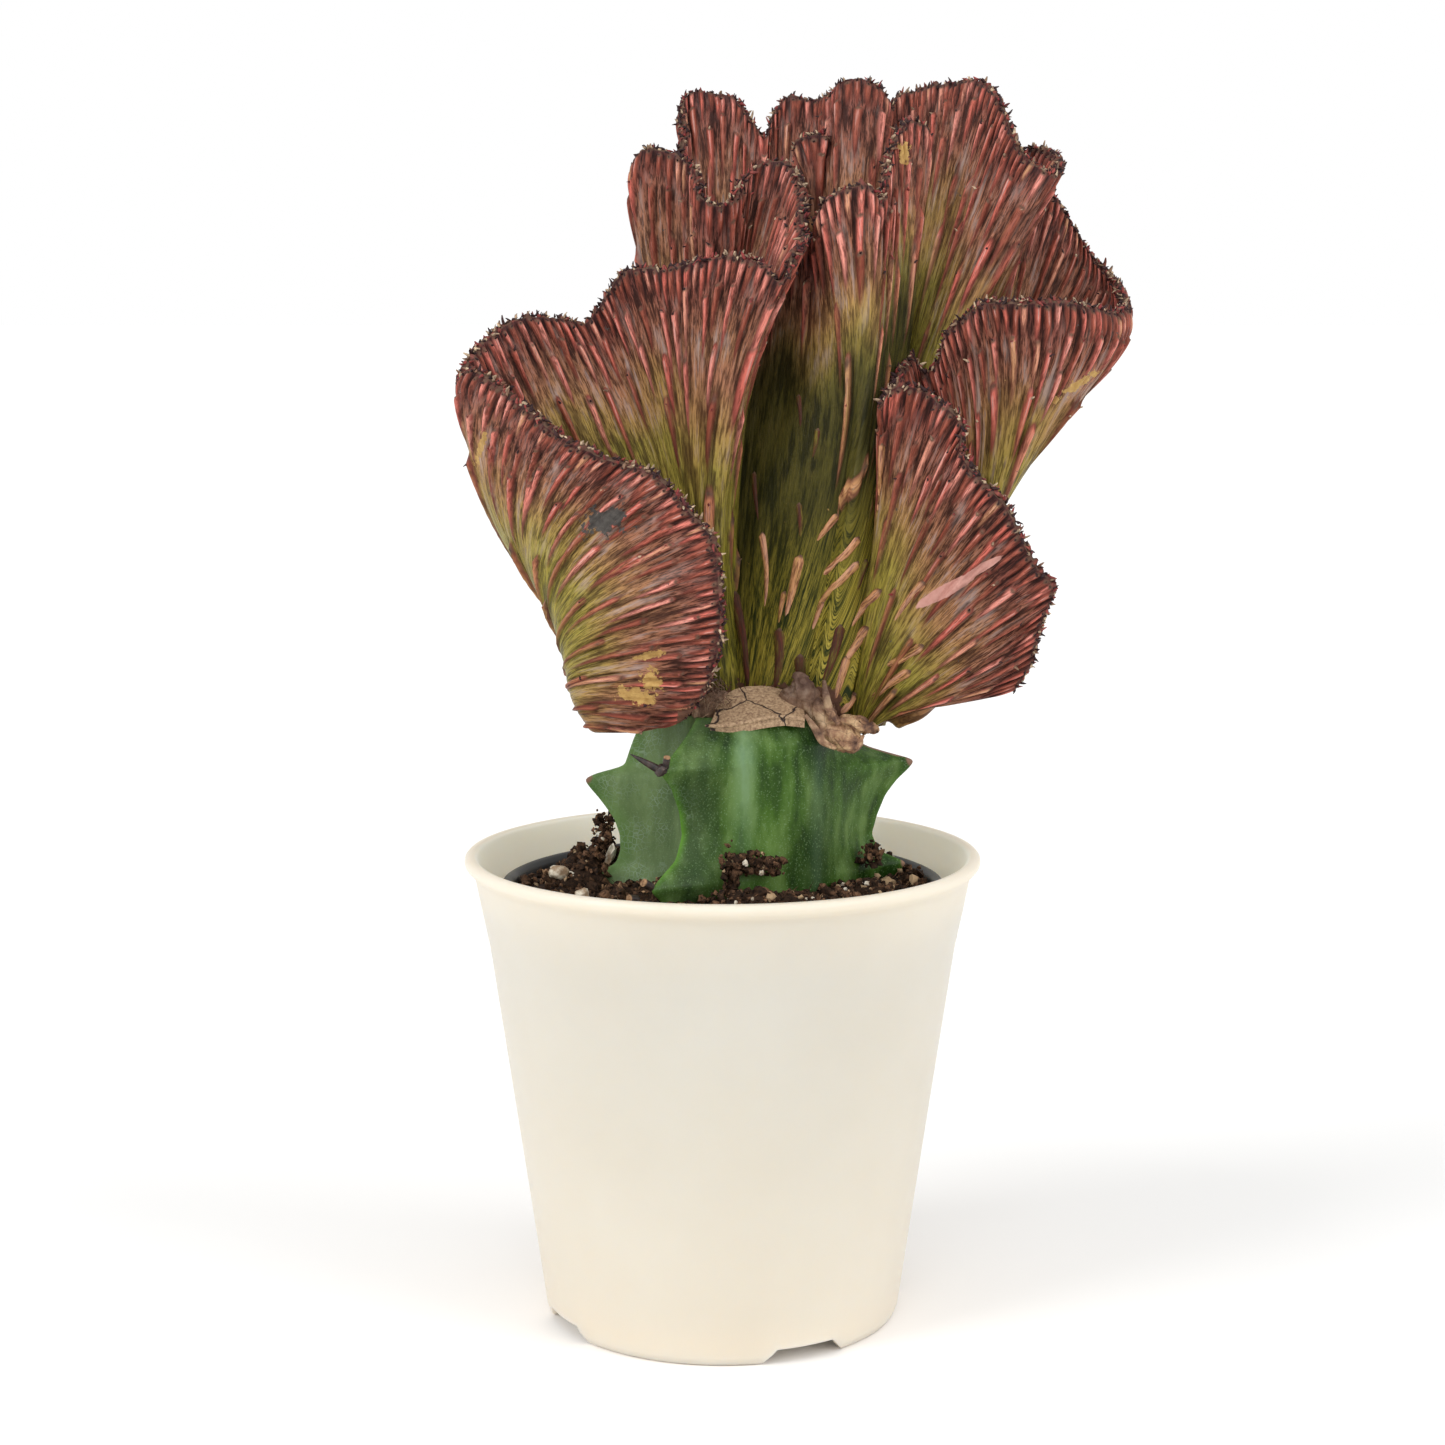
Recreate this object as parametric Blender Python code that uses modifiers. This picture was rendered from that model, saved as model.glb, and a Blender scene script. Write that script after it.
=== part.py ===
"""Potted coral cactus: a crested euphorbia grafted on a winged green stem, in a cream pot.

Lengths in the tables are millimetres. The tables are laid out round the pot's axis; the finished
pieces are moved so that the whole object's box is centred on the origin and stands on z = 0.
"""
import math
import random

import bmesh
import bpy
import numpy as np
from mathutils import Matrix, Vector
from mathutils.bvhtree import BVHTree

for old in list(bpy.data.objects):
    bpy.data.objects.remove(old)

# Driving dimensions
MM = 0.001
POT_SHIFT = -19.0
POT_SEGMENTS = 52
GROW_SEGMENTS = 40
NOTCH_COUNT = 4
NOTCH_HEIGHT = 3.9
NOTCH_FIRST_DEG = 297.0
NOTCH_WIDE_DEG = 31.0
NOTCH_NARROW_DEG = 20.0
GAP = 0.3
DRAIN_RADIUS = 4.0
DRAIN_CIRCLE = 26.0
STEM_X = 6.0
STEM_TOP = 149.0
STEM_BOTTOM = 50.0
SOIL_SEGMENTS = 44
SOIL_RADIUS = 52.4
SOIL_LEVEL = 110.2
CRUMBS = 90
CREST_COLUMNS = 232
CREST_SLIM = 0.66
CALLUS_SLIM = 0.42
RIB_HEIGHT = 1.5
TOOTH_LENGTH = 1.9
SEED = 20260

# Outer pot: wall section from the middle of its floor, up the inside, over the lip and down
OUTER_POT = [
    (0.0, 7.0), (40.8, 7.0), (42.9, 8.6), (56.7, 95.7), (60.3, 113.8), (61.4, 118.0), (62.6, 119.0),
    (64.0, 119.0), (65.0, 118.0), (65.0, 115.8), (64.0, 114.8), (62.5, 114.4), (58.8, 95.7),
    (45.3, 2.4), (44.5, 0.5), (43.4, 0.0), (41.9, 0.0), (41.2, 4.4), (40.4, 5.0), (0.0, 5.0),
]

# Grow pot: thin wall with a rolled rim
GROW_POT = [
    (0.0, 8.5), (38.2, 8.7), (52.9, 110.2), (53.7, 111.5), (54.6, 111.8), (55.7, 111.6), (56.0, 110.8),
    (56.0, 109.0), (55.0, 108.5), (54.0, 108.6), (40.0, 8.6), (38.9, 7.3), (0.0, 7.3),
]

# Green stem: ridge directions in degrees and each ridge's radius at rising heights
RING_HEIGHTS = [
    50, 90, 105, 109.4, 112, 115, 118.5, 123, 128, 132.5, 136, 138.6, 140.4, 142,
    143.7, 145.5, 147.3, 149,
]
RIDGES = [
    (5, [(50, 11), (90, 14), (105, 27), (112, 38), (115.5, 41), (118.5, 34), (123, 31.5), (128, 32.4),
         (133, 34.2), (137, 37.2), (140, 40.6), (142, 42.2), (143.7, 35.6), (145.6, 29.3), (149, 26)]),
    (75, [(50, 11), (90, 14), (105, 29), (109.4, 40), (112, 35), (118.5, 30), (128, 31), (136, 36),
          (138.6, 39), (140.4, 36), (143.7, 29), (149, 23)]),
    (130, [(50, 11), (90, 14), (105, 30), (112, 36), (115, 40), (118.5, 33), (123, 30.5), (132.5, 32),
           (140.4, 36), (143.7, 39), (145.5, 34), (147.3, 27), (149, 23)]),
    (185, [(50, 11), (90, 14), (105, 33), (109.4, 44), (112, 36), (115, 33), (120, 31.8), (124, 32),
           (128, 33.4), (133, 37), (136, 39.2), (138.6, 40.6), (140.4, 38.6), (142, 31.5), (145.5, 28),
           (149, 26)]),
    (238, [(50, 11), (90, 14), (105, 31), (112, 41), (115.5, 45), (118.5, 37), (123, 32.5), (128, 31.5),
           (136, 33), (140.4, 34.8), (143.7, 38), (145.5, 40.5), (147.3, 28), (149, 22)]),
]
# Between two ridges: radius of the hollow and how sharply the ridges rise from it
HOLLOWS = [(19, 2.6), (18, 2.4), (18, 2.4), (18.5, 2.4), (24.5, 3.4)]
RIDGE_SHARES = [0.0, 0.03, 0.09, 0.2, 0.35, 0.5, 0.65, 0.8, 0.91, 0.97]
# Teeth that carry a pair of thorns: ridge number, height, radius
TEETH = [
    (0, 142, 42), (0, 115.5, 41), (1, 138.6, 39), (2, 143.7, 39), (2, 115, 40), (3, 138.6, 40.5),
    (4, 145.5, 40.5), (4, 115.5, 45),
]
THORN_LENGTH = 6.0
THORN_RADIUS = 0.8

# Growing edge of the crest, in the order in which it winds: edge x, y, z, then the point that the
# rib under it passes on its way from the base
EDGE = [
    (-9, -26, 157, -20, -24, 158),
    (-6, -33, 162, -27, -26, 160),
    (-2, -38, 169, -32, -25, 163),
    (0, -42, 178, -34, -24, 171),
    (0, -46, 190, -38, -23, 183),
    (-2, -47, 203, -43, -22, 194),
    (-8, -46, 210, -47, -21, 201),
    (-16, -45, 218, -50, -20, 206),
    (-26, -43, 221, -53, -19, 210),
    (-37, -40, 226, -54, -18, 214),
    (-45, -36, 232, -56, -17, 216),
    (-53, -31, 238, -57, -15, 219),
    (-59, -26, 241, -57, -12, 221),
    (-63, -18, 239, -54, -9, 218),
    (-62, -11, 243, -45, -4, 213),
    (-57, -5, 249, -35, 0, 208),
    (-50, -1, 253, -26, 2, 203),
    (-41, 3, 253, -17, 2, 200),
    (-34, 6, 252, -11, 1, 198),
    (-30, 6, 257, -8, 0, 197),
    (-23, 3, 265, -6, -2, 196),
    (-14, 0, 265, -5, -3, 196),
    (-5, -4, 267, -4, -4, 196),
    (3, -8, 268, -3, -5, 197),
    (10, -11, 266, -2, -6, 201),
    (14, -12, 262, -2, -6, 204),
    (18, -12, 269, -1, -5, 207),
    (20, -7, 272, 0, -3, 209),
    (20, 1, 278, 1, 1, 213),
    (20, 10, 284, 3, 5, 215),
    (19, 18, 289, 3, 9, 217),
    (14, 24, 292, 3, 12, 219),
    (9, 25, 291, 3, 14, 219),
    (5, 22, 287, 2, 14, 219),
    (3, 18, 283, 1, 14, 219),
    (-2, 15, 281, -1, 14, 219),
    (-5, 15, 283, -3, 14, 219),
    (-6, 20, 289, -5, 15, 219),
    (-10, 25, 293, -7, 17, 219),
    (-16, 27, 295, -8, 19, 219),
    (-20, 27, 295, -9, 21, 219),
    (-22, 30, 292, -10, 23, 219),
    (-20, 38, 291, -8, 25, 220),
    (-14, 44, 293, -7, 26, 221),
    (-10, 50, 300, -5, 26, 223),
    (-11, 55, 307, -3, 25, 224),
    (-9, 58, 311, -1, 24, 224),
    (-2, 57, 311, 1, 22, 224),
    (4, 54, 309, 3, 20, 224),
    (8, 50, 303, 6, 18, 223),
    (11, 48, 299, 8, 17, 222),
    (13, 52, 305, 11, 16, 220),
    (18, 56, 310, 14, 15, 219),
    (23, 56, 309, 17, 13, 219),
    (28, 50, 310, 20, 10, 220),
    (29, 42, 310, 23, 7, 220),
    (32, 37, 313, 25, 5, 220),
    (36, 36, 313, 28, 4, 220),
    (40, 38, 311, 30, 4, 220),
    (43, 46, 307, 33, 5, 220),
    (46, 53, 310, 36, 7, 221),
    (50, 53, 311, 38, 9, 225),
    (54, 46, 312, 42, 11, 228),
    (60, 38, 312, 44, 11, 232),
    (66, 30, 312, 46, 10, 236),
    (70, 24, 307, 48, 8, 238),
    (72, 19, 301, 50, 7, 240),
    (74, 14, 295, 52, 5, 242),
    (78, 10, 290, 54, 3, 242),
    (81, 8, 288, 56, 3, 242),
    (84, 12, 290, 58, 5, 242),
    (84, 19, 293, 61, 10, 240),
    (81, 26, 295, 63, 16, 238),
    (78, 33, 295, 65, 20, 236),
    (80, 38, 289, 67, 23, 234),
    (87, 40, 282, 68, 23, 232),
    (91, 40, 276, 70, 22, 229),
    (95, 38, 270, 71, 20, 227),
    (100, 32, 264, 72, 17, 224),
    (102, 24, 259, 73, 12, 222),
    (101, 13, 255, 74, 7, 221),
    (99, 4, 255, 73, 2, 220),
    (95, -5, 254, 72, -2, 218),
    (88, -12, 256, 70, -4, 214),
    (81, -16, 257, 69, -5, 212),
    (75, -18, 257, 67, -6, 210),
    (69, -18, 257, 67, -6, 209),
    (63, -15, 257, 65, -6, 208),
    (59, -11, 254, 62, -5, 207),
    (55, -7, 250, 60, -4, 207),
    (53, -3, 243, 58, -2, 207),
    (50, 1, 240, 55, 0, 208),
    (47, 4, 244, 52, 2, 209),
    (44, -2, 242, 48, 1, 210),
    (42, -9, 238, 43, -1, 208),
    (39, -15, 234, 39, -4, 197),
    (39, -21, 233, 37, -7, 190),
    (41, -25, 237, 37, -10, 186),
    (47, -27, 237, 38, -12, 185),
    (51, -29, 234, 39, -14, 184),
    (57, -31, 229, 40, -15, 183),
    (57, -32, 222, 42, -16, 182),
    (62, -34, 215, 43, -17, 180),
    (67, -35, 210, 45, -18, 177),
    (71, -36, 202, 47, -18, 174),
    (75, -36, 195, 49, -18, 171),
    (79, -34, 190, 51, -18, 168),
    (78, -32, 185, 52, -17, 165),
    (76, -30, 178, 53, -16, 163),
    (75, -26, 171, 54, -14, 163),
    (72, -20, 167, 55, -12, 162),
]

# Lobes of the sheet: first and last point on the growing edge, and where the first and the last rib
# leave the base
LOBES = [
    (0, 13, (-5, -4, 154), (-5, -1, 158)),
    (13, 18, (-5, -1, 158), (-2, 0, 157)),
    (18, 25, (-2, 0, 157), (3, -1, 156)),
    (25, 30, (3, -2, 156), (4, 3, 156)),
    (30, 35, (5, 4, 156), (2, 4, 156)),
    (35, 41, (2, 4, 156), (-1, 5, 156)),
    (41, 44, (-2, 4, 156), (0, 6, 156)),
    (44, 50, (0, 5, 156), (8, 4, 156)),
    (50, 55, (8, 4, 155), (13, 3, 155)),
    (55, 60, (13, 1, 155), (22, 1, 154)),
    (60, 69, (22, 2, 154), (31, 0, 153)),
    (69, 73, (31, 0, 153), (32, 4, 153)),
    (73, 80, (30, 4, 153), (36, 2, 153)),
    (80, 90, (38, 3, 153), (34, -1, 153)),
    (90, 93, (33, -1, 153), (32, 1, 153)),
    (93, 96, (34, 2, 153), (33, -2, 153)),
    (96, 110, (33, -2, 154), (38, -3, 152)),
]

# Front of the main sheet, which spreads from the base and ends above in a smaller lobe, laid out
# the same way
FRONT_EDGE = [
    (2, 8, 246, -1, -3, 205),
    (8, 12, 258, 3, -4, 210),
    (15, 13, 268, 8, -5, 214),
    (20, 12, 274, 13, -6, 218),
    (24, 8, 273, 18, -8, 222),
    (24, 2, 277, 21, -9, 226),
    (26, -3, 283, 24, -9, 230),
    (30, -5, 284, 27, -8, 233),
    (35, -4, 285, 31, -7, 234),
    (38, 0, 281, 33, -6, 234),
    (40, 5, 288, 35, -5, 234),
    (41, 10, 296, 37, -4, 233),
    (45, 16, 303, 38, -3, 230),
    (49, 20, 303, 39, -2, 225),
    (52, 24, 300, 40, -2, 218),
]

# Little flap between two lobes at the top
FLAP_EDGE = [
    (20, 40, 290, 23, 30, 274),
    (19, 38, 297, 23, 29, 274),
    (22, 35, 299, 24, 28, 274),
    (26, 34, 299, 24, 28, 274),
    (28, 38, 296, 25, 30, 274),
]

# Clumps of soil: x, y, height above the bed, spread
CLUMPS = [
    (-31, -4, 15, 5), (-36, -12, 6, 6), (9, -35, 11, 6), (18, -33, 7, 6), (-8, -40, 3, 5),
    (38, -18, 7, 5), (42, 16, 4, 6), (26, -42, 4, 6), (30, 34, 4, 7), (-36, 20, 4, 6), (2, 44, 4, 6),
]

# Lumps of cork and resin round the graft: centre, then half sizes
CALLUS_LUMPS = [
    ((15, -2, 151.2), (26, 17, 2.6)),
    ((0, -12, 153.0), (9, 5, 2.6)),
    ((12, -13, 154.5), (12, 4.5, 4.5)),
    ((22, -13, 157.0), (8, 4.5, 7.0)),
    ((29, -14, 157.0), (5, 4.5, 7.5)),
    ((31, -17, 147.5), (8, 6, 6.5)),
    ((24, -18, 151.0), (7, 4, 4)),
    ((15, 11, 154.0), (14, 5, 5)),
]

# Loose grains on the soil: name, x, y, half sizes, turn in degrees
GRAINS = [
    ("perlite_left", -41, -14, (3.0, 2.0, 1.7), 30),
    ("perlite_low_left", -34, -27, (2.2, 1.8, 1.6), 100),
    ("perlite_front", 4, -46, (2.4, 1.8, 1.5), 0),
    ("perlite_right", 36, -33, (3.4, 1.8, 1.1), 20),
    ("bark_chip", -10, -44, (4.2, 2.0, 1.0), 60),
]

collection = bpy.data.collections.new("potted_coral_cactus")
bpy.context.scene.collection.children.link(collection)
cutters = bpy.data.collections.new("cutters")
bpy.context.scene.collection.children.link(cutters)
cutters.hide_render = True


def material(name, colour, roughness, metallic=0.0):
    """A plain surface of the given colour."""
    made = bpy.data.materials.new(name)
    made.use_nodes = True
    shader = made.node_tree.nodes["Principled BSDF"]
    shader.inputs["Base Color"].default_value = (*colour, 1.0)
    shader.inputs["Roughness"].default_value = roughness
    shader.inputs["Metallic"].default_value = metallic
    return made


def add_object(name, points, faces, group):
    """An object from points in millimetres round the pot's axis."""
    mesh = bpy.data.meshes.new(name)
    scaled = [((x + POT_SHIFT) * MM, y * MM, z * MM) for x, y, z in points]
    mesh.from_pydata(scaled, [], faces)
    mesh.update()
    made = bpy.data.objects.new(name, mesh)
    group.objects.link(made)
    if group is cutters:
        made.display_type = "WIRE"
        made.hide_render = True
    return made


def select_only(target):
    """Makes one object the active one."""
    bpy.context.view_layer.update()
    for other in bpy.context.selected_objects:
        other.select_set(False)
    target.select_set(True)
    bpy.context.view_layer.objects.active = target


def apply_modifiers(target):
    """Applies all modifiers of an object in their order."""
    select_only(target)
    for modifier in list(target.modifiers):
        bpy.ops.object.modifier_apply(modifier=modifier.name)


def smooth_by_angle(target, degrees):
    """Smooth shading that keeps edges sharper than the angle."""
    select_only(target)
    bpy.ops.object.shade_smooth_by_angle(angle=math.radians(degrees))


def cut(target, cutter, keep_cutter=False):
    """Takes a cutter's volume away from the target."""
    modifier = target.modifiers.new("cut", "BOOLEAN")
    modifier.operation = "DIFFERENCE"
    modifier.object = cutter
    modifier.solver = "EXACT"
    apply_modifiers(target)
    if not keep_cutter:
        bpy.data.objects.remove(cutter)


def join_all(target, group, solver):
    """Unites the target with every object of a collection and removes those objects."""
    modifier = target.modifiers.new("join", "BOOLEAN")
    modifier.operation = "UNION"
    modifier.operand_type = "COLLECTION"
    modifier.collection = group
    modifier.solver = solver
    if solver == "EXACT":
        modifier.use_self = True
    apply_modifiers(target)
    for used in list(group.objects):
        bpy.data.objects.remove(used)
    bpy.data.collections.remove(group)


def turned(name, section, segments, group):
    """A round piece from its section, spun about the pot's axis."""
    mesh = bpy.data.meshes.new(name)
    points = [(r * MM, 0.0, z * MM) for r, z in section]
    edges = [(i, i + 1) for i in range(len(section) - 1)]
    mesh.from_pydata(points, edges, [])
    made = bpy.data.objects.new(name, mesh)
    group.objects.link(made)
    screw = made.modifiers.new("spin", "SCREW")
    screw.axis = "Z"
    screw.angle = 2 * math.pi
    screw.steps = segments
    screw.render_steps = segments
    screw.use_merge_vertices = True
    screw.merge_threshold = 0.00001
    screw.use_normal_calculate = True
    apply_modifiers(made)
    made.data.transform(Matrix.Translation((POT_SHIFT * MM, 0.0, 0.0)))
    outward(made)
    return made


def outward(target):
    """Turns all faces outward and drops doubled points."""
    work = bmesh.new()
    work.from_mesh(target.data)
    bmesh.ops.remove_doubles(work, verts=work.verts, dist=0.000001)
    bmesh.ops.recalc_face_normals(work, faces=work.faces)
    work.to_mesh(target.data)
    work.free()


def spline(points, params, where):
    """A smooth curve through the points at rising parameters, read at other parameters."""
    slope = np.empty_like(points)
    slope[1:-1] = (points[2:] - points[:-2]) / (params[2:] - params[:-2])[:, None]
    slope[0] = (points[1] - points[0]) / (params[1] - params[0])
    slope[-1] = (points[-1] - points[-2]) / (params[-1] - params[-2])
    i = np.clip(np.searchsorted(params, where, side="right") - 1, 0, len(params) - 2)
    width = (params[i + 1] - params[i])[:, None]
    s = ((where - params[i]) / (params[i + 1] - params[i]))[:, None]
    return (
        (2 * s ** 3 - 3 * s ** 2 + 1) * points[i]
        + (s ** 3 - 2 * s ** 2 + s) * width * slope[i]
        + (3 * s ** 2 - 2 * s ** 3) * points[i + 1]
        + (s ** 3 - s ** 2) * width * slope[i + 1]
    )


def edge_and_knees(table, columns):
    """The growing edge and the knee points at evenly spaced columns, and the edge point each is at."""
    table = np.array(table, dtype=float)
    edge = table[:, 0:3]
    params = np.concatenate([[0.0], np.cumsum(np.linalg.norm(np.diff(edge, axis=0), axis=1))])
    fine = np.linspace(0.0, params[-1], 4000)
    run = np.linalg.norm(np.diff(spline(edge, params, fine), axis=0), axis=1)
    run = np.concatenate([[0.0], np.cumsum(run)])
    where = np.interp(np.linspace(0.0, run[-1], columns + 1), run, fine)
    place = np.interp(where, params, np.arange(len(table)))
    return spline(edge, params, where), spline(table[:, 3:6], params, where), place


def rib_curves(edge, knee, base, heights):
    """One curve for every column, from the base past its knee to the edge."""
    low = np.linalg.norm(knee - base, axis=1)
    high = np.linalg.norm(edge - knee, axis=1)
    t = np.clip(low / (low + high), 0.2, 0.88)[:, None]
    pull = (knee - (1 - t) ** 2 * base - t ** 2 * edge) / (2 * t * (1 - t))
    v = np.array(heights)[None, :, None]
    return (1 - v) ** 2 * base[:, None] + 2 * v * (1 - v) * pull[:, None] + v ** 2 * edge[:, None]


def smoothed(values, passes):
    """Values averaged with their neighbours along the first axis."""
    for _ in range(passes):
        values = values.copy()
        values[1:-1] = (values[:-2] + 2 * values[1:-1] + values[2:]) / 4
    return values


def unit(vectors):
    """Vectors of length one."""
    return vectors / (np.linalg.norm(vectors, axis=-1, keepdims=True) + 1e-9)


def ribbed_sheet(name, grid, first, steps, half, ends, group):
    """A closed sheet about the grid of its middle. steps gives the columns one face spans in each row,
    ends how thin the sheet gets over its first and last two columns."""
    columns = len(grid) - 1
    count = grid.shape[1]
    across = np.gradient(grid, axis=0)
    up = unit(np.gradient(grid, axis=1))
    normal = unit(smoothed(unit(np.cross(across, up)), 2))
    step = np.linalg.norm(across, axis=2) + 1e-9
    bend = smoothed(np.sum(np.gradient(normal, axis=0) * across, axis=2) / step ** 2, 1)
    run = np.arange(columns + 1)
    ridge = ((run + first) % 2 == 0).astype(float)[:, None]
    v = np.linspace(0.0, 1.0, count)[None, :]
    relief = RIB_HEIGHT * ridge * np.clip((v - 0.3) / 0.4, 0.0, 1.0) * np.clip(step / 3.0, 0.0, 1.0)
    thin = np.ones(columns + 1)
    thin[:len(ends)] = ends
    thin[-len(ends):] = ends[::-1]
    reach = (half[None, :] + relief) * thin[:, None]
    front = np.minimum(reach, 0.7 / (np.maximum(-bend, 0.0) + 0.02))
    back = np.minimum(reach, 0.7 / (np.maximum(bend, 0.0) + 0.02))
    tooth = (0.5 + TOOTH_LENGTH * ridge[:, 0] * thin)[:, None] * up[:, -1]

    nodes = []
    rows = []
    for side in (0, 1):
        for j in range(count):
            row = {}
            for i in range(0, columns + 1, steps[j]):
                row[i] = len(nodes)
                nodes.append((side, i, j))
            rows.append(row)
    crown = []
    for i in range(columns + 1):
        crown.append(len(nodes))
        nodes.append((2, i, count - 1))

    faces = []
    for side in (0, 1):
        for j in range(count - 1):
            low, high = rows[side * count + j], rows[side * count + j + 1]
            for i in range(0, columns, steps[j]):
                a, b = low[i], low[i + steps[j]]
                c, d = high[i], high[i + steps[j]]
                made = [(a, b, d), (a, d, c)]
                if steps[j] != steps[j + 1]:
                    m = high[i + steps[j + 1]]
                    made = [(a, m, c), (a, b, m), (b, d, m)]
                faces += [face[::-1] for face in made] if side else made
    top_front, top_back = rows[count - 1], rows[2 * count - 1]
    for i in range(columns):
        f, g, m, n = top_front[i], top_front[i + 1], crown[i], crown[i + 1]
        r, s = top_back[i], top_back[i + 1]
        faces += [(f, g, n), (f, n, m), (m, n, s), (m, s, r)]
    for i in range(0, columns, steps[0]):
        a, b = rows[0][i], rows[0][i + steps[0]]
        c, d = rows[count][i], rows[count][i + steps[0]]
        faces += [(b, a, c), (b, c, d)]
    for i in (0, columns):
        for j in range(count - 1):
            a, b = rows[j][i], rows[j + 1][i]
            c, d = rows[count + j][i], rows[count + j + 1][i]
            made = [(a, c, d), (a, d, b)]
            faces += made if i else [face[::-1] for face in made]
        made = (top_front[i], top_back[i], crown[i])
        faces.append(made if i else made[::-1])

    for _ in range(60):
        points = []
        for side, i, j in nodes:
            if side == 2:
                points.append(Vector(grid[i, j] + tooth[i]))
            else:
                depth = front[i, j] if side == 0 else -back[i, j]
                points.append(Vector(grid[i, j] + depth * normal[i, j]))
        tight = crossing_points(points, faces)
        if not tight:
            break
        for index in tight:
            side, i, j = nodes[index]
            if side < 2:
                front[i, j] = max(0.8 * front[i, j], 0.05)
                back[i, j] = max(0.8 * back[i, j], 0.05)
    made = add_object(name, [tuple(p) for p in points], faces, group)
    outward(made)
    return made


def crossing_points(points, faces):
    """The corners of all faces that cross another face that they share no corner with."""
    tree = BVHTree.FromPolygons(points, faces)
    found = set()
    for one, other in tree.overlap(tree):
        if one < other and not set(faces[one]) & set(faces[other]):
            found.update(faces[one])
            found.update(faces[other])
    return found


def even(number):
    """The nearest even whole number."""
    return 2 * int(round(number / 2))


HEIGHTS = [0.0, 0.15, 0.3, 0.44, 0.56, 0.67, 0.78, 0.89, 1.0]
STEPS = [2, 2, 2, 1, 1, 1, 1, 1, 1]
ENDS = [0.35, 0.8]
rise = np.array(HEIGHTS)
main_half = 5.0 - 3.3 * np.sqrt(rise)
edge_all, knee_all, place_all = edge_and_knees(EDGE, CREST_COLUMNS)
knee_all = smoothed(knee_all, 10)
lobe_group = bpy.data.collections.new("lobes")
bpy.context.scene.collection.children.link(lobe_group)
for number, (start, end, base_start, base_end) in enumerate(LOBES):
    first = even(np.interp(start, place_all, np.arange(CREST_COLUMNS + 1)))
    last = even(np.interp(end, place_all, np.arange(CREST_COLUMNS + 1)))
    outer_first = max(first - 1, 0)
    outer_last = min(last + 1, CREST_COLUMNS)
    if (outer_last - outer_first) % 2:
        outer_last += 1 if outer_last < CREST_COLUMNS else -1
    span = slice(outer_first, outer_last + 1)
    share = (np.arange(outer_first, outer_last + 1) - first) / (last - first)
    base = np.array(base_start, float) + share[:, None] * (np.array(base_end, float) - base_start)
    grid = rib_curves(edge_all[span], knee_all[span], base, HEIGHTS)
    if number:
        ribbed_sheet("lobe_%02d" % number, grid, outer_first, STEPS, main_half, ENDS, lobe_group)
    else:
        crest = ribbed_sheet("crest", grid, outer_first, STEPS, main_half, ENDS, collection)

for lobe_name, table, base_start, base_end, count, half in (
    ("front_lobe", FRONT_EDGE, (5, -8, 155), (31, -8, 155), 36, 3.2 - 1.5 * rise),
    ("flap", FLAP_EDGE, (19, 23, 252), (25, 23, 252), 8, 2.2 - 0.8 * rise),
):
    edge, knee, _ = edge_and_knees(table, count)
    share = np.linspace(0.0, 1.0, count + 1)[:, None]
    base = np.array(base_start, float) + share * (np.array(base_end, float) - base_start)
    grid = rib_curves(edge, smoothed(knee, 4), base, HEIGHTS)
    ribbed_sheet(lobe_name, grid, 0, STEPS, half, ENDS, lobe_group)


def add_thorn(name, root, direction, length, radius, sides, group):
    """A thin cone whose root is sunk in what it grows on."""
    direction = Vector(direction).normalized()
    turn = direction.to_track_quat("Z", "Y")
    bpy.ops.mesh.primitive_cone_add(
        vertices=sides, radius1=radius * MM, radius2=0.12 * radius * MM, depth=length * MM,
        end_fill_type="NGON")
    thorn = bpy.context.object
    thorn.name = name
    middle = Vector(root) + direction * (length / 2 - 1.2)
    shift = Vector(((middle.x + POT_SHIFT) * MM, middle.y * MM, middle.z * MM))
    for point in thorn.data.vertices:
        point.co = turn @ point.co + shift
    for old_group in list(thorn.users_collection):
        old_group.objects.unlink(thorn)
    group.objects.link(thorn)
    return thorn


def drop_scraps(target):
    """Keeps the largest body of an object."""
    work = bmesh.new()
    work.from_mesh(target.data)
    bmesh.ops.triangulate(work, faces=work.faces)
    work.faces.ensure_lookup_table()
    seen = set()
    bodies = []
    for face in work.faces:
        if face.index in seen:
            continue
        seen.add(face.index)
        body = [face]
        for member in body:
            for edge in member.edges:
                for near in edge.link_faces:
                    if near.index not in seen:
                        seen.add(near.index)
                        body.append(near)
        bodies.append(body)
    bodies.sort(key=len)
    scraps = [face for body in bodies[:-1] for face in body]
    bmesh.ops.delete(work, geom=scraps, context="FACES")
    bmesh.ops.recalc_face_normals(work, faces=work.faces)
    work.to_mesh(target.data)
    work.free()


join_all(crest, lobe_group, "MANIFOLD")
drop_scraps(crest)
slim = crest.modifiers.new("slim", "DECIMATE")
slim.decimate_type = "COLLAPSE"
slim.ratio = CREST_SLIM
apply_modifiers(crest)


def stem_direction(share_index, gap):
    """Direction in degrees of one of the points between two ridges."""
    start = RIDGES[gap][0]
    end = RIDGES[(gap + 1) % len(RIDGES)][0]
    if end < start:
        end += 360
    return start + (end - start) * RIDGE_SHARES[share_index]


def stem_radius(gap, share, height):
    """Radius of the stem between two ridges at one height."""
    tip_from = np.interp(height, *zip(*RIDGES[gap][1]))
    tip_to = np.interp(height, *zip(*RIDGES[(gap + 1) % len(RIDGES)][1]))
    hollow, power = HOLLOWS[gap]
    tip = tip_from if share < 0.5 else tip_to
    low = min(hollow, 0.94 * tip_from, 0.94 * tip_to)
    rise = abs(2 * share - 1) ** power
    if share in (RIDGE_SHARES[1], RIDGE_SHARES[-1]):
        rise = 0.9
    return low + (tip - low) * rise


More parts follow.
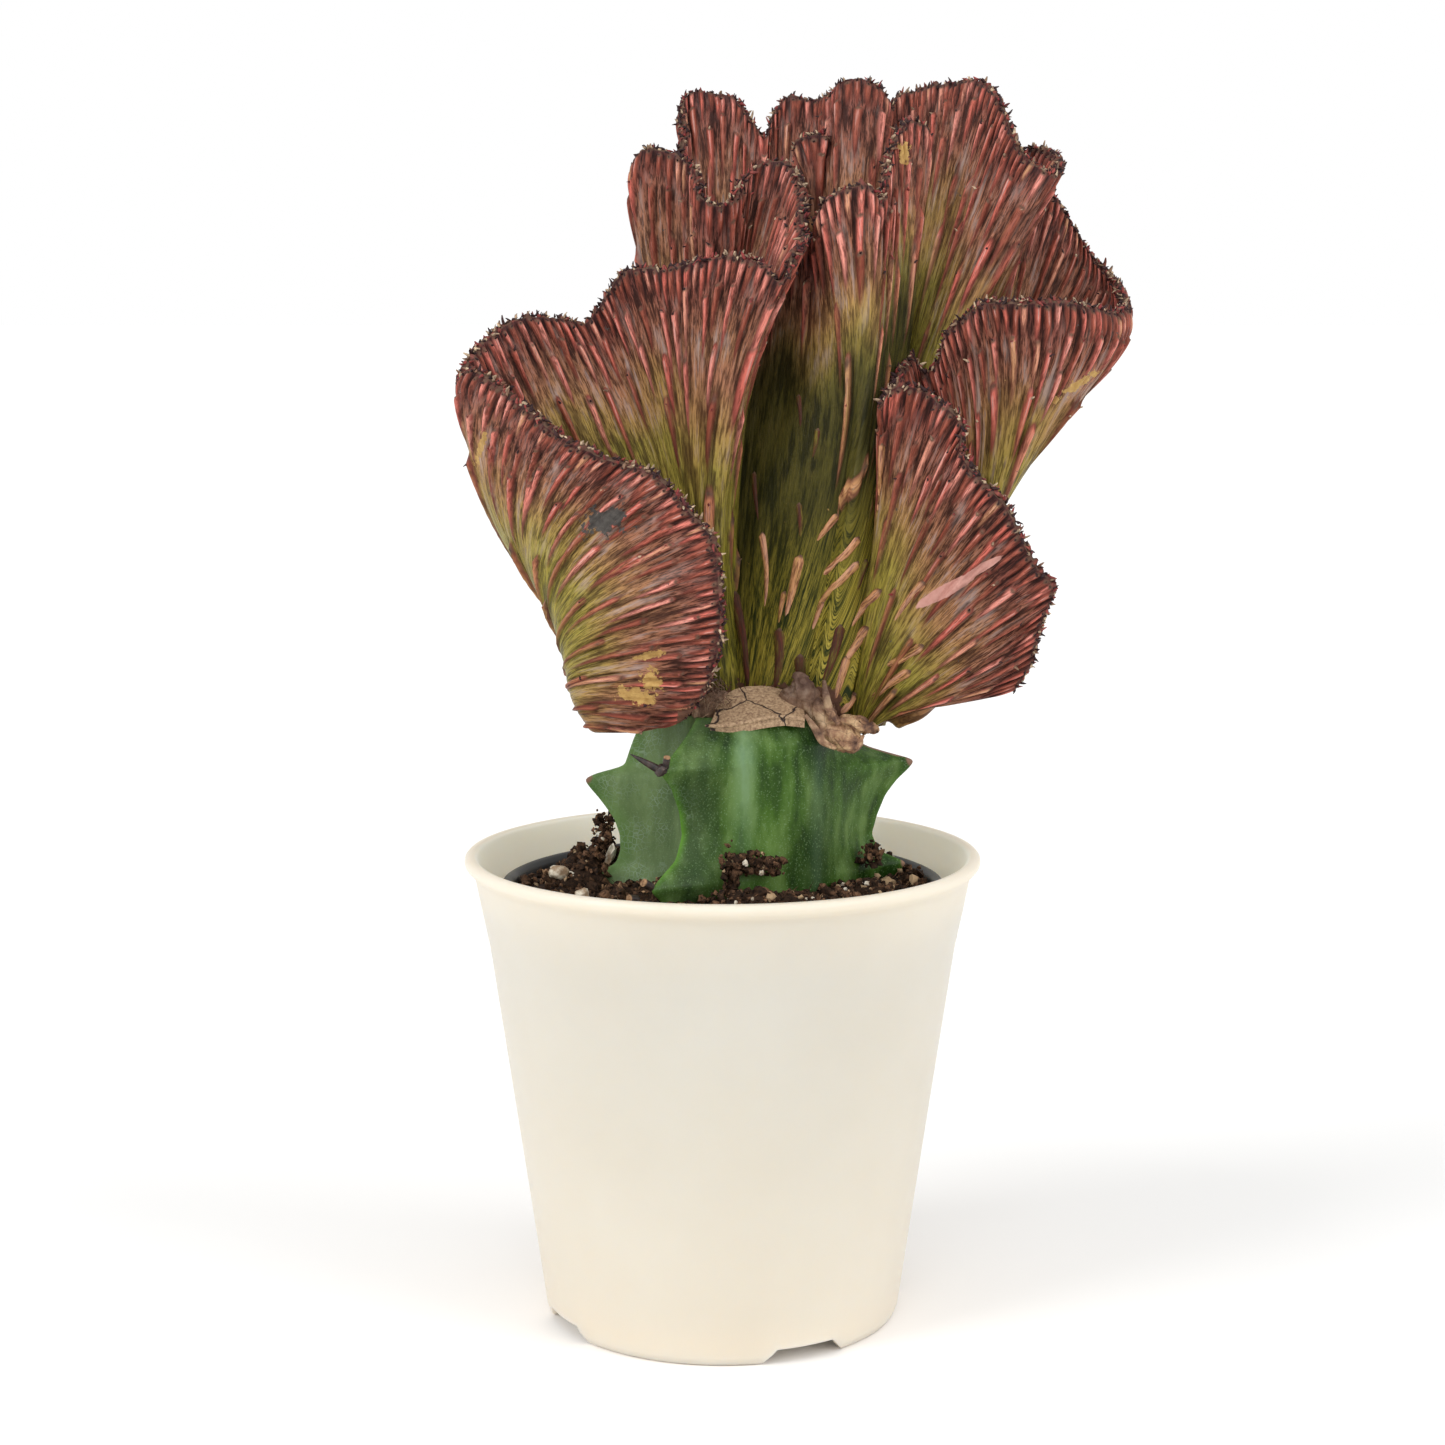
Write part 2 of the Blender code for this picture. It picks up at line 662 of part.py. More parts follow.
def stem_solid(name, grown, group):
    """The winged stem, or the same form grown by a margin for cutting."""
    heights = [float(height) for height in RING_HEIGHTS]
    heights[0] -= grown
    heights[-1] += grown
    points = []
    for height in heights:
        clipped = min(max(height, STEM_BOTTOM), STEM_TOP)
        for gap in range(len(RIDGES)):
            for index, share in enumerate(RIDGE_SHARES):
                angle = math.radians(stem_direction(index, gap))
                radius = stem_radius(gap, share, clipped) + 1.3 * grown
                points.append((STEM_X + radius * math.cos(angle), radius * math.sin(angle), height))
    around = len(RIDGES) * len(RIDGE_SHARES)
    faces = []
    for level in range(len(heights) - 1):
        for k in range(around):
            a = level * around + k
            b = level * around + (k + 1) % around
            c, d = a + around, b + around
            faces += [(a, b, d), (a, d, c)]
    points.append((STEM_X, 0.0, heights[0]))
    points.append((STEM_X, 0.0, heights[-1] + (0.3 if grown == 0 else 0.0)))
    top = (len(heights) - 1) * around
    for k in range(around):
        faces.append(((k + 1) % around, k, len(points) - 2))
        faces.append((top + k, top + (k + 1) % around, len(points) - 1))
    made = add_object(name, points, faces, group)
    outward(made)
    return made


def soil_height(x, y):
    """Height of the soil's surface: a low mound with clumps and crumbs."""
    height = SOIL_LEVEL + 4.5 * math.exp(-((x - STEM_X) ** 2 + y ** 2) / 34.0 ** 2)
    for cx, cy, tall, spread in CLUMPS + crumbs:
        height += tall * math.exp(-(((x - cx) ** 2 + (y - cy) ** 2) / spread ** 2) ** 1.4)
    edge = max(0.0, (math.hypot(x, y) - 44.0) / (SOIL_RADIUS - 44.0))
    return height + (109.4 - height) * edge ** 1.5


def lump(name, centre, half, level, roughness, group):
    """An uneven ball."""
    bpy.ops.mesh.primitive_ico_sphere_add(subdivisions=level, radius=1.0)
    made = bpy.context.object
    made.name = name
    for point in made.data.vertices:
        swell = 1.0 + roughness * (rng.random() - 0.5)
        co = point.co * swell
        point.co = (
            (centre[0] + co.x * half[0] + POT_SHIFT) * MM,
            (centre[1] + co.y * half[1]) * MM,
            (centre[2] + co.z * half[2]) * MM)
    for old_group in list(made.users_collection):
        old_group.objects.unlink(made)
    group.objects.link(made)
    return made


rng = random.Random(SEED)
crumbs = []
for _ in range(CRUMBS):
    away = 50.0 * math.sqrt(rng.random())
    turn = rng.uniform(0.0, 2 * math.pi)
    crumb = (away * math.cos(turn), away * math.sin(turn), rng.uniform(0.5, 2.2), rng.uniform(2.5, 5.0))
    beside_tooth = False
    for ridge, height, radius in TEETH:
        aim = math.radians(RIDGES[ridge][0])
        gap_x = crumb[0] - STEM_X - (radius + 3.0) * math.cos(aim)
        gap_y = crumb[1] - (radius + 3.0) * math.sin(aim)
        beside_tooth = beside_tooth or (height < 120 and math.hypot(gap_x, gap_y) < 11.0)
    if not beside_tooth:
        crumbs.append(crumb)

# The cream pot with its notched foot
outer_pot = turned("outer_pot", OUTER_POT, POT_SEGMENTS, collection)
for number in range(NOTCH_COUNT):
    middle = math.radians(NOTCH_FIRST_DEG + number * 360.0 / NOTCH_COUNT)
    points = []
    for away in (36.0, 52.0):
        for height, wide in ((-1.0, NOTCH_WIDE_DEG + 3.0), (NOTCH_HEIGHT, NOTCH_NARROW_DEG)):
            half = 44.0 * math.radians(wide) / 2
            for side in (-half, half):
                points.append((
                    away * math.cos(middle) - side * math.sin(middle),
                    away * math.sin(middle) + side * math.cos(middle),
                    height))
    faces = [(0, 1, 3, 2), (4, 6, 7, 5), (0, 4, 5, 1), (2, 3, 7, 6), (0, 2, 6, 4), (1, 5, 7, 3)]
    notch = add_object("notch_%d" % number, points, faces, cutters)
    outward(notch)
    cut(outer_pot, notch)

# The grow pot with its drain holes
nursery_pot = turned("nursery_pot", GROW_POT, GROW_SEGMENTS, collection)
for number in range(5):
    turn = 2 * math.pi * number / 5
    bpy.ops.mesh.primitive_cylinder_add(
        vertices=10, radius=DRAIN_RADIUS * MM, depth=6 * MM,
        location=((POT_SHIFT + DRAIN_CIRCLE * math.cos(turn)) * MM, DRAIN_CIRCLE * math.sin(turn) * MM, 8 * MM))
    drain = bpy.context.object
    drain.name = "drain_%d" % number
    cut(nursery_pot, drain)

# The green winged stem with paired thorns on its teeth
rootstock = stem_solid("rootstock", 0.0, collection)
thorn_group = bpy.data.collections.new("thorns")
bpy.context.scene.collection.children.link(thorn_group)
for ridge, height, radius in TEETH:
    turn = math.radians(RIDGES[ridge][0])
    root = (STEM_X + radius * math.cos(turn), radius * math.sin(turn), height)
    for spread in (-32, 32):
        aim = turn + math.radians(spread)
        add_thorn(
            "thorn", root, (math.cos(aim), math.sin(aim), 0.45), THORN_LENGTH, THORN_RADIUS, 4, thorn_group)
join_all(rootstock, thorn_group, "MANIFOLD")

# The soil, with a plain hole for the stem
soil_rings = [0.12, 0.24, 0.35, 0.45, 0.54, 0.62, 0.7, 0.78, 0.86, 0.93, 1.0]
points = [(0.0, 0.0, soil_height(0.0, 0.0))]
for share in soil_rings:
    for k in range(SOIL_SEGMENTS):
        turn = 2 * math.pi * k / SOIL_SEGMENTS
        x = SOIL_RADIUS * share * math.cos(turn)
        y = SOIL_RADIUS * share * math.sin(turn)
        points.append((x, y, soil_height(x, y)))
for radius, height in ((38.3, 12.0), (37.2, 9.1)):
    for k in range(SOIL_SEGMENTS):
        turn = 2 * math.pi * k / SOIL_SEGMENTS
        points.append((radius * math.cos(turn), radius * math.sin(turn), height))
points.append((0.0, 0.0, 9.1))
faces = []
levels = len(soil_rings) + 2
for k in range(SOIL_SEGMENTS):
    after = (k + 1) % SOIL_SEGMENTS
    faces.append((0, 1 + k, 1 + after))
    for level in range(levels - 1):
        a, b = 1 + level * SOIL_SEGMENTS + k, 1 + level * SOIL_SEGMENTS + after
        c, d = a + SOIL_SEGMENTS, b + SOIL_SEGMENTS
        faces += [(a, c, d), (a, d, b)]
    last = 1 + (levels - 1) * SOIL_SEGMENTS
    faces.append((last + k, len(points) - 1, last + after))
soil = add_object("soil", points, faces, collection)
outward(soil)
stem_cutter = stem_solid("stem_cutter", GAP + 0.05, cutters)
cut(soil, stem_cutter, keep_cutter=True)
drop_scraps(soil)

# Loose grains, each let down until it almost touches the soil
soil_tree = BVHTree.FromObject(soil, bpy.context.evaluated_depsgraph_get())
grains = []
for name, x, y, half, turn in GRAINS:
    grain = lump(name, (0, 0, 0), (1, 1, 1), 2, 0.25, collection)
    cos_turn, sin_turn = math.cos(math.radians(turn)), math.sin(math.radians(turn))
    for point in grain.data.vertices:
        px = (point.co.x / MM - POT_SHIFT) * half[0]
        py = point.co.y / MM * half[1]
        pz = point.co.z / MM * half[2]
        point.co = (
            (x + px * cos_turn - py * sin_turn + POT_SHIFT) * MM,
            (y + px * sin_turn + py * cos_turn) * MM,
            (pz + 160.0) * MM)
    drop = min(
        point.co.z - soil_tree.ray_cast(point.co, Vector((0, 0, -1)))[0].z for point in grain.data.vertices)
    for point in grain.data.vertices:
        point.co.z -= drop - (GAP + 0.15) * MM
    grains.append(grain)

# Cork and resin round the graft, kept clear of the stem and the crest
callus_group = bpy.data.collections.new("callus_lumps")
bpy.context.scene.collection.children.link(callus_group)
for number, (centre, half) in enumerate(CALLUS_LUMPS):
    group = callus_group if number else collection
    made = lump("graft_callus" if number == 0 else "callus_%d" % number, centre, half, 2, 0.12, group)
    if number == 0:
        graft_callus = made
join_all(graft_callus, callus_group, "MANIFOLD")
crest_cutter = crest.copy()
crest_cutter.data = crest.data.copy()
crest_cutter.name = "crest_cutter"
cutters.objects.link(crest_cutter)
for point in crest_cutter.data.vertices:
    point.co += point.normal * (GAP + 0.35) * MM
for cutter in (crest_cutter, stem_cutter):
    modifier = graft_callus.modifiers.new("cut", "BOOLEAN")
    modifier.operation = "DIFFERENCE"
    modifier.object = cutter
    modifier.solver = "MANIFOLD"
apply_modifiers(graft_callus)
bpy.data.objects.remove(crest_cutter)
bpy.data.objects.remove(stem_cutter)
drop_scraps(graft_callus)
slim = graft_callus.modifiers.new("slim", "DECIMATE")
slim.decimate_type = "COLLAPSE"
slim.ratio = CALLUS_SLIM
apply_modifiers(graft_callus)

cream = material("cream_plastic", (0.80, 0.72, 0.60), 0.45)
black = material("black_plastic", (0.012, 0.011, 0.011), 0.4)
peat = material("peat", (0.035, 0.022, 0.015), 0.95)
green = material("green_skin", (0.04, 0.16, 0.035), 0.42)
cork = material("cork", (0.30, 0.19, 0.12), 0.85)
red = material("crest_skin", (0.24, 0.065, 0.05), 0.5)
white = material("perlite_white", (0.72, 0.68, 0.60), 0.9)
tan = material("bark_tan", (0.36, 0.22, 0.12), 0.9)
for piece, surface, angle in (
    (outer_pot, cream, 30), (nursery_pot, black, 30), (soil, peat, 25), (rootstock, green, 30),
    (graft_callus, cork, 40), (crest, red, 30), (grains[0], white, 30), (grains[1], white, 30),
    (grains[2], white, 30), (grains[3], white, 30), (grains[4], tan, 30),
):
    piece.data.materials.clear()
    piece.data.materials.append(surface)
    smooth_by_angle(piece, angle)
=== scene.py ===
# %% [markdown]
# # Potted coral cactus
# A ruffled red crest is grafted on a green winged stem that stands in soil, in a black grow pot inside
# a cream pot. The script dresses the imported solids: it loads them as a fixed frame, then models every
# piece again in the same place, within a few millimetres and with finer relief, and gives each its own
# procedural finish.

# %% Load the fixed frame
import math
import random
import bpy
import numpy as np
from mathutils import Euler, Matrix, Vector
from mathutils import noise as swirls
from mathutils.bvhtree import BVHTree


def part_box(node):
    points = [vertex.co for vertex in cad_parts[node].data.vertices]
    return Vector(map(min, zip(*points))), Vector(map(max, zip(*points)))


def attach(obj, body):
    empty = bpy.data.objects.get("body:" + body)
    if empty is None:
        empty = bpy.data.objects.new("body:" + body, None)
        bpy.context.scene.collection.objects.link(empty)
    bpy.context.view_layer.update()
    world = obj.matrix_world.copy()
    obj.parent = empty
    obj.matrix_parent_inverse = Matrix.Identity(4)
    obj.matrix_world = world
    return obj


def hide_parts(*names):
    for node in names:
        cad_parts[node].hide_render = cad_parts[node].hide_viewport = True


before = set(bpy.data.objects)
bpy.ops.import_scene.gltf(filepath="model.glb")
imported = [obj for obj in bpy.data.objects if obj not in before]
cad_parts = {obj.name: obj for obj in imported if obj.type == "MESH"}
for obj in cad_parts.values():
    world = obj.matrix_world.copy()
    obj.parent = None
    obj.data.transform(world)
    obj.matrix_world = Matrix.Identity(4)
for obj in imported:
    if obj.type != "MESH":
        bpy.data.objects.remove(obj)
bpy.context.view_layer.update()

print("solids:", sorted(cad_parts))

# %% [markdown]
# ## Shared habits
# All tables are in millimetres round the pot's axis, because that is how one measures a plant. The
# whole object is centred on its box, so the pot's axis stands 19 mm left of the origin. A few small
# helpers keep every step alike: they pick one object, put a list of points into a mesh, keep values
# with its points, and finish a piece, so that it rides on the frame and stands for its solid.

# %% Units and helpers for pieces
MM = 0.001
POT_SHIFT = -19.0
AXIS = Vector((POT_SHIFT * MM, 0.0, 0.0))
chance = random.Random(4711)
dice = np.random.default_rng(4711)


def clear_selection():
    """Leaves no object selected."""
    bpy.ops.object.select_all(action="DESELECT")


def pick(piece):
    """Selects one object alone and makes it the active one."""
    clear_selection()
    piece.select_set(True)
    bpy.context.view_layer.objects.active = piece


def leave_edit():
    """Turns all faces outwards and leaves edit mode."""
    bpy.ops.mesh.select_all(action="SELECT")
    bpy.ops.mesh.normals_make_consistent(inside=False)
    bpy.ops.object.mode_set(mode="OBJECT")


def lumpy(place):
    """Smooth chance between about -1 and 1 at a place."""
    return swirls.noise(Vector(place))


def softened(values, width):
    """Values averaged along their first axis with a bell of the given width, the ends kept in place."""
    reach = min(int(3 * width) + 1, len(values) - 1)
    bell = np.exp(-0.5 * (np.arange(-reach, reach + 1) / width) ** 2)
    flat = np.asarray(values, float).reshape(len(values), -1)
    padded = np.pad(flat, ((reach, reach), (0, 0)), mode="reflect", reflect_type="odd")
    made = sum(share * padded[k:k + len(flat)] for k, share in enumerate(bell / bell.sum()))
    return made.reshape(np.shape(values))


def unit(vectors):
    """The same directions, each one long."""
    return vectors / (np.linalg.norm(vectors, axis=-1, keepdims=True) + 1e-9)


def metres(points):
    """Millimetres round the pot's axis to metres in the frame."""
    return (np.asarray(points, float) + (POT_SHIFT, 0.0, 0.0)) * MM


def mesh_piece(name, points, faces):
    """A new object from points in millimetres, the new active one."""
    mesh = bpy.data.meshes.new(name)
    mesh.from_pydata(metres(points).tolist(), [], faces)
    made = bpy.data.objects.new(name, mesh)
    bpy.context.scene.collection.objects.link(made)
    pick(made)
    return made


def store(piece, label, values):
    """Keeps one value, a direction or four masks with each point of a piece."""
    values = np.asarray(values, float).ravel()
    kind, channel = {1: ("FLOAT", "value"), 3: ("FLOAT_VECTOR", "vector"), 4: ("FLOAT_COLOR", "color")}[
        len(values) // len(piece.data.vertices)]
    piece.data.attributes.new(label, kind, "POINT").data.foreach_set(channel, values)


def finish_piece(piece, material, nodes=(), angle=180):
    """Places the piece in its mesh, shades it, gives it a finish and puts it on the frame."""
    pick(piece)
    bpy.ops.object.transform_apply(location=True, rotation=True, scale=True)
    if angle < 180:
        bpy.ops.object.shade_smooth_by_angle(angle=math.radians(angle))
    else:
        bpy.ops.object.shade_smooth()
    piece.data.materials.clear()
    piece.data.materials.append(material)
    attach(piece, "root")
    if nodes:
        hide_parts(*nodes)
    triangles = sum(len(face.vertices) - 2 for face in piece.data.polygons)
    print("%s: %d triangles" % (piece.name, triangles))
    return piece


# %% [markdown]
# ## A short way to wire shaders
# A procedural finish is a tree of nodes. Wiring each node by hand takes many lines, so these helpers
# add one node with its inputs: a noise, a stored mask, a colour ramp, a mix of two colours or a sum.
# Colours are laid over each other in layers, as paint is. Every pattern reads the piece's own
# coordinates, so it stays on the surface from any side.

# %% Helpers for finishes
def new_finish(name):
    """A fresh material, its node tree and where a point lies on the piece."""
    material = bpy.data.materials.new(name)
    material.use_nodes = True
    tree = material.node_tree
    return material, tree, node(tree, "TexCoord").outputs["Object"]


def fill(tree, made, inputs):
    """Gives a node its inputs, each by a wire or by a plain value."""
    for key, value in inputs.items():
        if isinstance(value, bpy.types.NodeSocket):
            tree.links.new(value, made.inputs[key])
        else:
            made.inputs[key].default_value = value


def shaded(tree, **inputs):
    """Gives the material's own shader its inputs; a name's underscores stand for spaces."""
    fill(tree, tree.nodes["Principled BSDF"], {key.replace("_", " "): value for key, value in inputs.items()})


def node(tree, kind, inputs=None, **settings):
    """Adds one shader node with its inputs and settings."""
    made = tree.nodes.new("ShaderNode" + kind)
    for key, value in settings.items():
        setattr(made, key, value)
    fill(tree, made, inputs or {})
    return made


def noise(tree, vector, scale, detail=4.0, roughness=0.55):
    """Cloudy noise from 0 to 1; the scale is in lumps for each unit of the vector."""
    return node(tree, "TexNoise", {
        "Vector": vector, "Scale": scale, "Detail": detail, "Roughness": roughness}).outputs["Fac"]


def stored(tree, label, output="Fac"):
    """A mask stored on the piece's points."""
    return node(tree, "Attribute", attribute_name=label).outputs[output]


def stretched(tree, vector, scale):
    """The same place with each axis scaled, which draws a pattern out along an axis."""
    return node(tree, "Mapping", {"Vector": vector, "Scale": scale}).outputs["Vector"]


def four_masks(tree, label):
    """The four masks stored together under one label."""
    held = node(tree, "Attribute", attribute_name=label).outputs
    return [*node(tree, "SeparateColor", {"Color": held["Color"]}).outputs[:3], held["Alpha"]]


def between(tree, value, low, high):
    """Share from 0 at the low value to 1 at the high one."""
    return node(tree, "MapRange", {"Value": value, "From Min": low, "From Max": high}).outputs["Result"]


def crack_lines(tree, vector, scale):
    """Distance to the nearest line of a web like that of drying skin."""
    return node(tree, "TexVoronoi", {"Vector": vector, "Scale": scale},
                feature="DISTANCE_TO_EDGE").outputs["Distance"]


def ramp(tree, value, stops):
    """A colour ramp; a stop is a place and a grey or a colour."""
    made = node(tree, "ValToRGB", {"Fac": value})
    band = made.color_ramp
    while len(band.elements) < len(stops):
        band.elements.new(1.0)
    for element, (place, colour) in zip(band.elements, stops):
        if not isinstance(colour, tuple):
            colour = (colour, colour, colour)
        element.position = place
        element.color = (*colour, 1.0)
    return made.outputs["Color"]


def mixed(tree, share, first, second):
    """The first colour with a share of the second."""
    made = node(tree, "Mix", data_type="RGBA")
    for place, value in ((0, share), (6, first), (7, second)):
        if isinstance(value, bpy.types.NodeSocket):
            tree.links.new(value, made.inputs[place])
        elif place:
            made.inputs[place].default_value = (*value, 1.0)
        else:
            made.inputs[place].default_value = value
    return made.outputs[2]


def layered(tree, colour, *layers):
    """A colour with others laid over it in turn; each layer is a share and a colour."""
    for share, over in layers:
        colour = mixed(tree, share, colour, over)
    return colour


def reckoned(tree, operation, first, *others):
    """The first value with the others added to it, taken from it or multiplied with it."""
    for other in others:
        first = node(tree, "Math", {0: first, 1: other}, operation=operation).outputs[0]
    return first


def times(tree, *values):
    """The product of values."""
    return reckoned(tree, "MULTIPLY", *values)


def plus(tree, *values):
    """The sum of values."""
    return reckoned(tree, "ADD", *values)


def minus(tree, *values):
    """The first value less the others."""
    return reckoned(tree, "SUBTRACT", *values)


def bumped(tree, height, distance, strength):
    """Small relief by shading alone; the distance is in metres."""
    made = node(tree, "Bump", {"Height": height, "Distance": distance, "Strength": strength})
    shaded(tree, Normal=made.outputs["Normal"])


# %% [markdown]
# ## The cream pot
# The real pot is a moulded cup with a tapered wall, a slightly flared band at the top and a small
# rolled lip. A profile could be spun or lathed; here a disc is extruded and scaled ring by ring, from
# the underside of the floor up the outside, over the lip and down inside, as one would do by hand.

# %% Extrude a round piece ring by ring
def round_piece(name, section, segments):
    """A closed round piece from its section: radius and height of each ring."""
    radius, height = section[0]
    clear_selection()
    bpy.ops.mesh.primitive_circle_add(
        vertices=segments, radius=radius * MM, fill_type="NGON",
        location=AXIS + Vector((0, 0, height * MM)))
    made = bpy.context.object
    made.name = name
    bpy.ops.object.mode_set(mode="EDIT")
    for next_radius, next_height in section[1:]:
        bpy.ops.mesh.extrude_region_move(
            TRANSFORM_OT_translate={"value": (0, 0, (next_height - height) * MM)})
        share = next_radius / radius
        bpy.ops.transform.resize(value=(share, share, 1), center_override=AXIS)
        radius, height = next_radius, next_height
    bpy.ops.mesh.poke()
    leave_edit()
    bpy.ops.object.transform_apply(location=True, rotation=True, scale=True)
    return made


CREAM_SECTION = [
    (40.4, 5.0), (41.2, 4.4), (41.9, 0.3), (42.2, 0.0), (43.4, 0.0), (44.1, 0.2), (44.6, 0.7),
    (45.3, 2.4), (49.8, 34.0), (54.3, 65.0), (58.7, 95.2), (58.9, 96.4), (60.7, 105.0), (62.3, 113.2),
    (62.7, 114.4), (63.4, 115.3), (64.2, 116.0), (64.8, 116.8), (65.0, 117.5), (64.9, 118.2),
    (64.4, 118.8), (63.7, 119.0), (62.8, 119.0), (62.1, 118.7), (61.5, 118.0), (60.3, 113.8),
    (58.5, 105.0), (56.7, 95.7), (52.1, 66.0), (47.5, 37.0), (42.9, 8.6), (42.2, 7.4), (40.8, 7.0),
]
cream_pot = round_piece("cream_pot", CREAM_SECTION, 160)
print("cream pot height in mm:", round(cream_pot.dimensions.z * 1000, 1))

# %% [markdown]
# ## Notches in the foot
# Four shallow notches with slanted ends let air and water out under the foot. They are cut with a
# wedge: a cube whose top face is made narrower, turned to its place and subtracted.

# %% Cut the foot
NOTCH_TURNS = [297, 27, 117, 207]
NOTCH_SIZE = Vector((16, 25, 5)) * MM
NOTCH_TAPER = 0.62
FOOT_RADIUS, NOTCH_HEIGHT = 44, 1.4
for turn in NOTCH_TURNS:
    clear_selection()
    bpy.ops.mesh.primitive_cube_add(size=1, scale=NOTCH_SIZE, location=(0, 0, 0))
    wedge = bpy.context.object
    for corner in wedge.data.vertices:
        if corner.co.z > 0:
            corner.co.y *= NOTCH_TAPER
    angle = math.radians(turn)
    place = AXIS + Vector((FOOT_RADIUS * math.cos(angle), FOOT_RADIUS * math.sin(angle), NOTCH_HEIGHT)) * MM
    wedge.data.transform(Matrix.Translation(place) @ Matrix.Rotation(angle, 4, "Z"))
    tool = cream_pot.modifiers.new("notch", "BOOLEAN")
    tool.object = wedge
    tool.operation = "DIFFERENCE"
    pick(cream_pot)
    bpy.ops.object.modifier_apply(modifier=tool.name)
    bpy.data.objects.remove(wedge)
print("faces after the cuts:", len(cream_pot.data.polygons))

# %% [markdown]
# ## Moulded cream plastic
# The plastic is a warm cream with a satin skin. Under close light it is not quite even: a faint cloud
# of lighter and darker cream, and a very fine grain from the mould. Inside, a painted glow stands for
# light thrown back and forth between the walls: all that lies within the wall's middle line is painted a
# lighter cream.

# %% Cream plastic
cream, tree, place = new_finish("cream_plastic")
cloud = noise(tree, place, 22.0, 3.0)
shade = ramp(tree, cloud, [(0.3, (0.750, 0.640, 0.515)), (0.7, (0.790, 0.680, 0.555))])
flat_place = node(tree, "Mapping", {
    "Vector": place, "Location": (-POT_SHIFT * MM, 0, 0), "Scale": (1, 1, 0)}).outputs["Vector"]
from_axis = node(tree, "VectorMath", {0: flat_place}, operation="LENGTH").outputs["Value"]
height = node(tree, "SeparateXYZ", {"Vector": place}).outputs["Z"]
past_wall = minus(tree, from_axis, times(tree, height, 0.2))
# Painted glow: within the wall's middle line the cream is painted lighter
inside = between(tree, past_wall, 0.0390, 0.0383)
gloss = ramp(tree, noise(tree, place, 140.0, 3.0), [(0.3, 0.40), (0.7, 0.50)])
shaded(tree, Base_Color=mixed(tree, inside, shade, (0.99, 0.89, 0.72)), Roughness=gloss,
       Subsurface_Weight=0.75, Subsurface_Scale=1.0, Subsurface_Radius=(0.012, 0.010, 0.008))
bumped(tree, noise(tree, place, 900.0, 2.0), 0.00003, 0.5)
finish_piece(cream_pot, cream, ["outer_pot"], 35)

# %% [markdown]
# ## The black grow pot
# Inside stands the thin black pot that the plant was grown in. Only its rolled rim and a little of its
# wall show, low in the cream pot, where the rim catches a soft line of light.

# %% Grow pot
GROW_SECTION = [
    (30.0, 7.3), (38.9, 7.3), (40.0, 8.6), (47.0, 59.0), (54.0, 108.3), (55.0, 108.4), (55.7, 108.7),
    (56.0, 109.4), (56.0, 110.7), (55.7, 111.4), (55.0, 111.75), (54.3, 111.7), (53.7, 111.3),
    (53.1, 110.2), (46.0, 60.0), (38.2, 8.7), (30.0, 8.5),
]
grow_pot = round_piece("grow_pot", GROW_SECTION, 128)
black, tree, place = new_finish("black_plastic")
dust = noise(tree, place, 90.0, 5.0)
shaded(tree, Base_Color=ramp(tree, dust, [(0.45, (0.010, 0.010, 0.011)), (0.8, (0.035, 0.030, 0.027))]),
       Roughness=ramp(tree, dust, [(0.3, 0.28), (0.8, 0.5)]))
bumped(tree, noise(tree, place, 400.0, 3.0), 0.00005, 0.4)
finish_piece(grow_pot, black, ["nursery_pot"], 40)

# %% [markdown]
# ## Small shapes that repeat
# Crumbs, grains, thorns and bristles come in hundreds. Each kind is modelled once: a ball or a
# cone is added and its points are shaken in edit mode. The copies are then laid into one mesh, turned
# and sized by seeded chance, which keeps the number of pieces small. A tone for each copy is stored
# with its points, so that one finish can vary from crumb to crumb.

# %% Model one small shape, copy it many times
def shaken_ball(subdivisions, shake, seed):
    """A ball whose points are moved at random."""
    clear_selection()
    bpy.ops.mesh.primitive_ico_sphere_add(subdivisions=subdivisions, radius=1, location=(0, 0, 0))
    bpy.ops.object.mode_set(mode="EDIT")
    bpy.ops.mesh.select_all(action="SELECT")
    bpy.ops.transform.vertex_random(offset=shake, uniform=1.0, seed=seed)
    bpy.ops.object.mode_set(mode="OBJECT")
    return taken_shape()


def bent_cone(sides, sag, blunt):
    """A cone one unit long along Z that bends towards X, extruded in three steps."""
    clear_selection()
    bpy.ops.mesh.primitive_circle_add(vertices=sides, radius=1, fill_type="NGON", location=(0, 0, 0))
    bpy.ops.object.mode_set(mode="EDIT")
    widths = (1.0, 0.82, 0.55 + 0.2 * blunt, 0.08 + 0.4 * blunt)
    for step in (1, 2, 3):
        bpy.ops.mesh.extrude_region_move(
            TRANSFORM_OT_translate={"value": (sag * (2 * step - 1) / 9, 0, 1 / 3)})
        share = widths[step] / widths[step - 1]
        bpy.ops.transform.resize(value=(share, share, 1), center_override=(sag * step ** 2 / 9, 0, step / 3))
    leave_edit()
    return taken_shape()


def taken_shape():
    """The active object's points and faces; the object is then removed."""
    shape = bpy.context.object
    points = np.array([corner.co[:] for corner in shape.data.vertices])
    faces = [tuple(face.vertices) for face in shape.data.polygons]
    bpy.data.objects.remove(shape)
    return points, faces


def scattered(name, shapes, spots):
    """One piece of many copies. A spot is a centre, a turn as a matrix, three half sizes and a tone."""
    all_points, all_faces, tones, count = [], [], [], 0
    for number, (centre, turn, sizes, tone) in enumerate(spots):
        points, faces = shapes[number % len(shapes)]
        all_points.append((points * sizes) @ np.array(turn).T + centre)
        all_faces += [tuple(index + count for index in face) for face in faces]
        tones += [tone] * len(points)
        count += len(points)
    made = mesh_piece(name, np.concatenate(all_points), all_faces)
    store(made, "tone", tones)
    return made


def any_turn():
    """A chance turn."""
    return Euler([chance.uniform(0, 6.28) for _ in range(3)]).to_matrix()


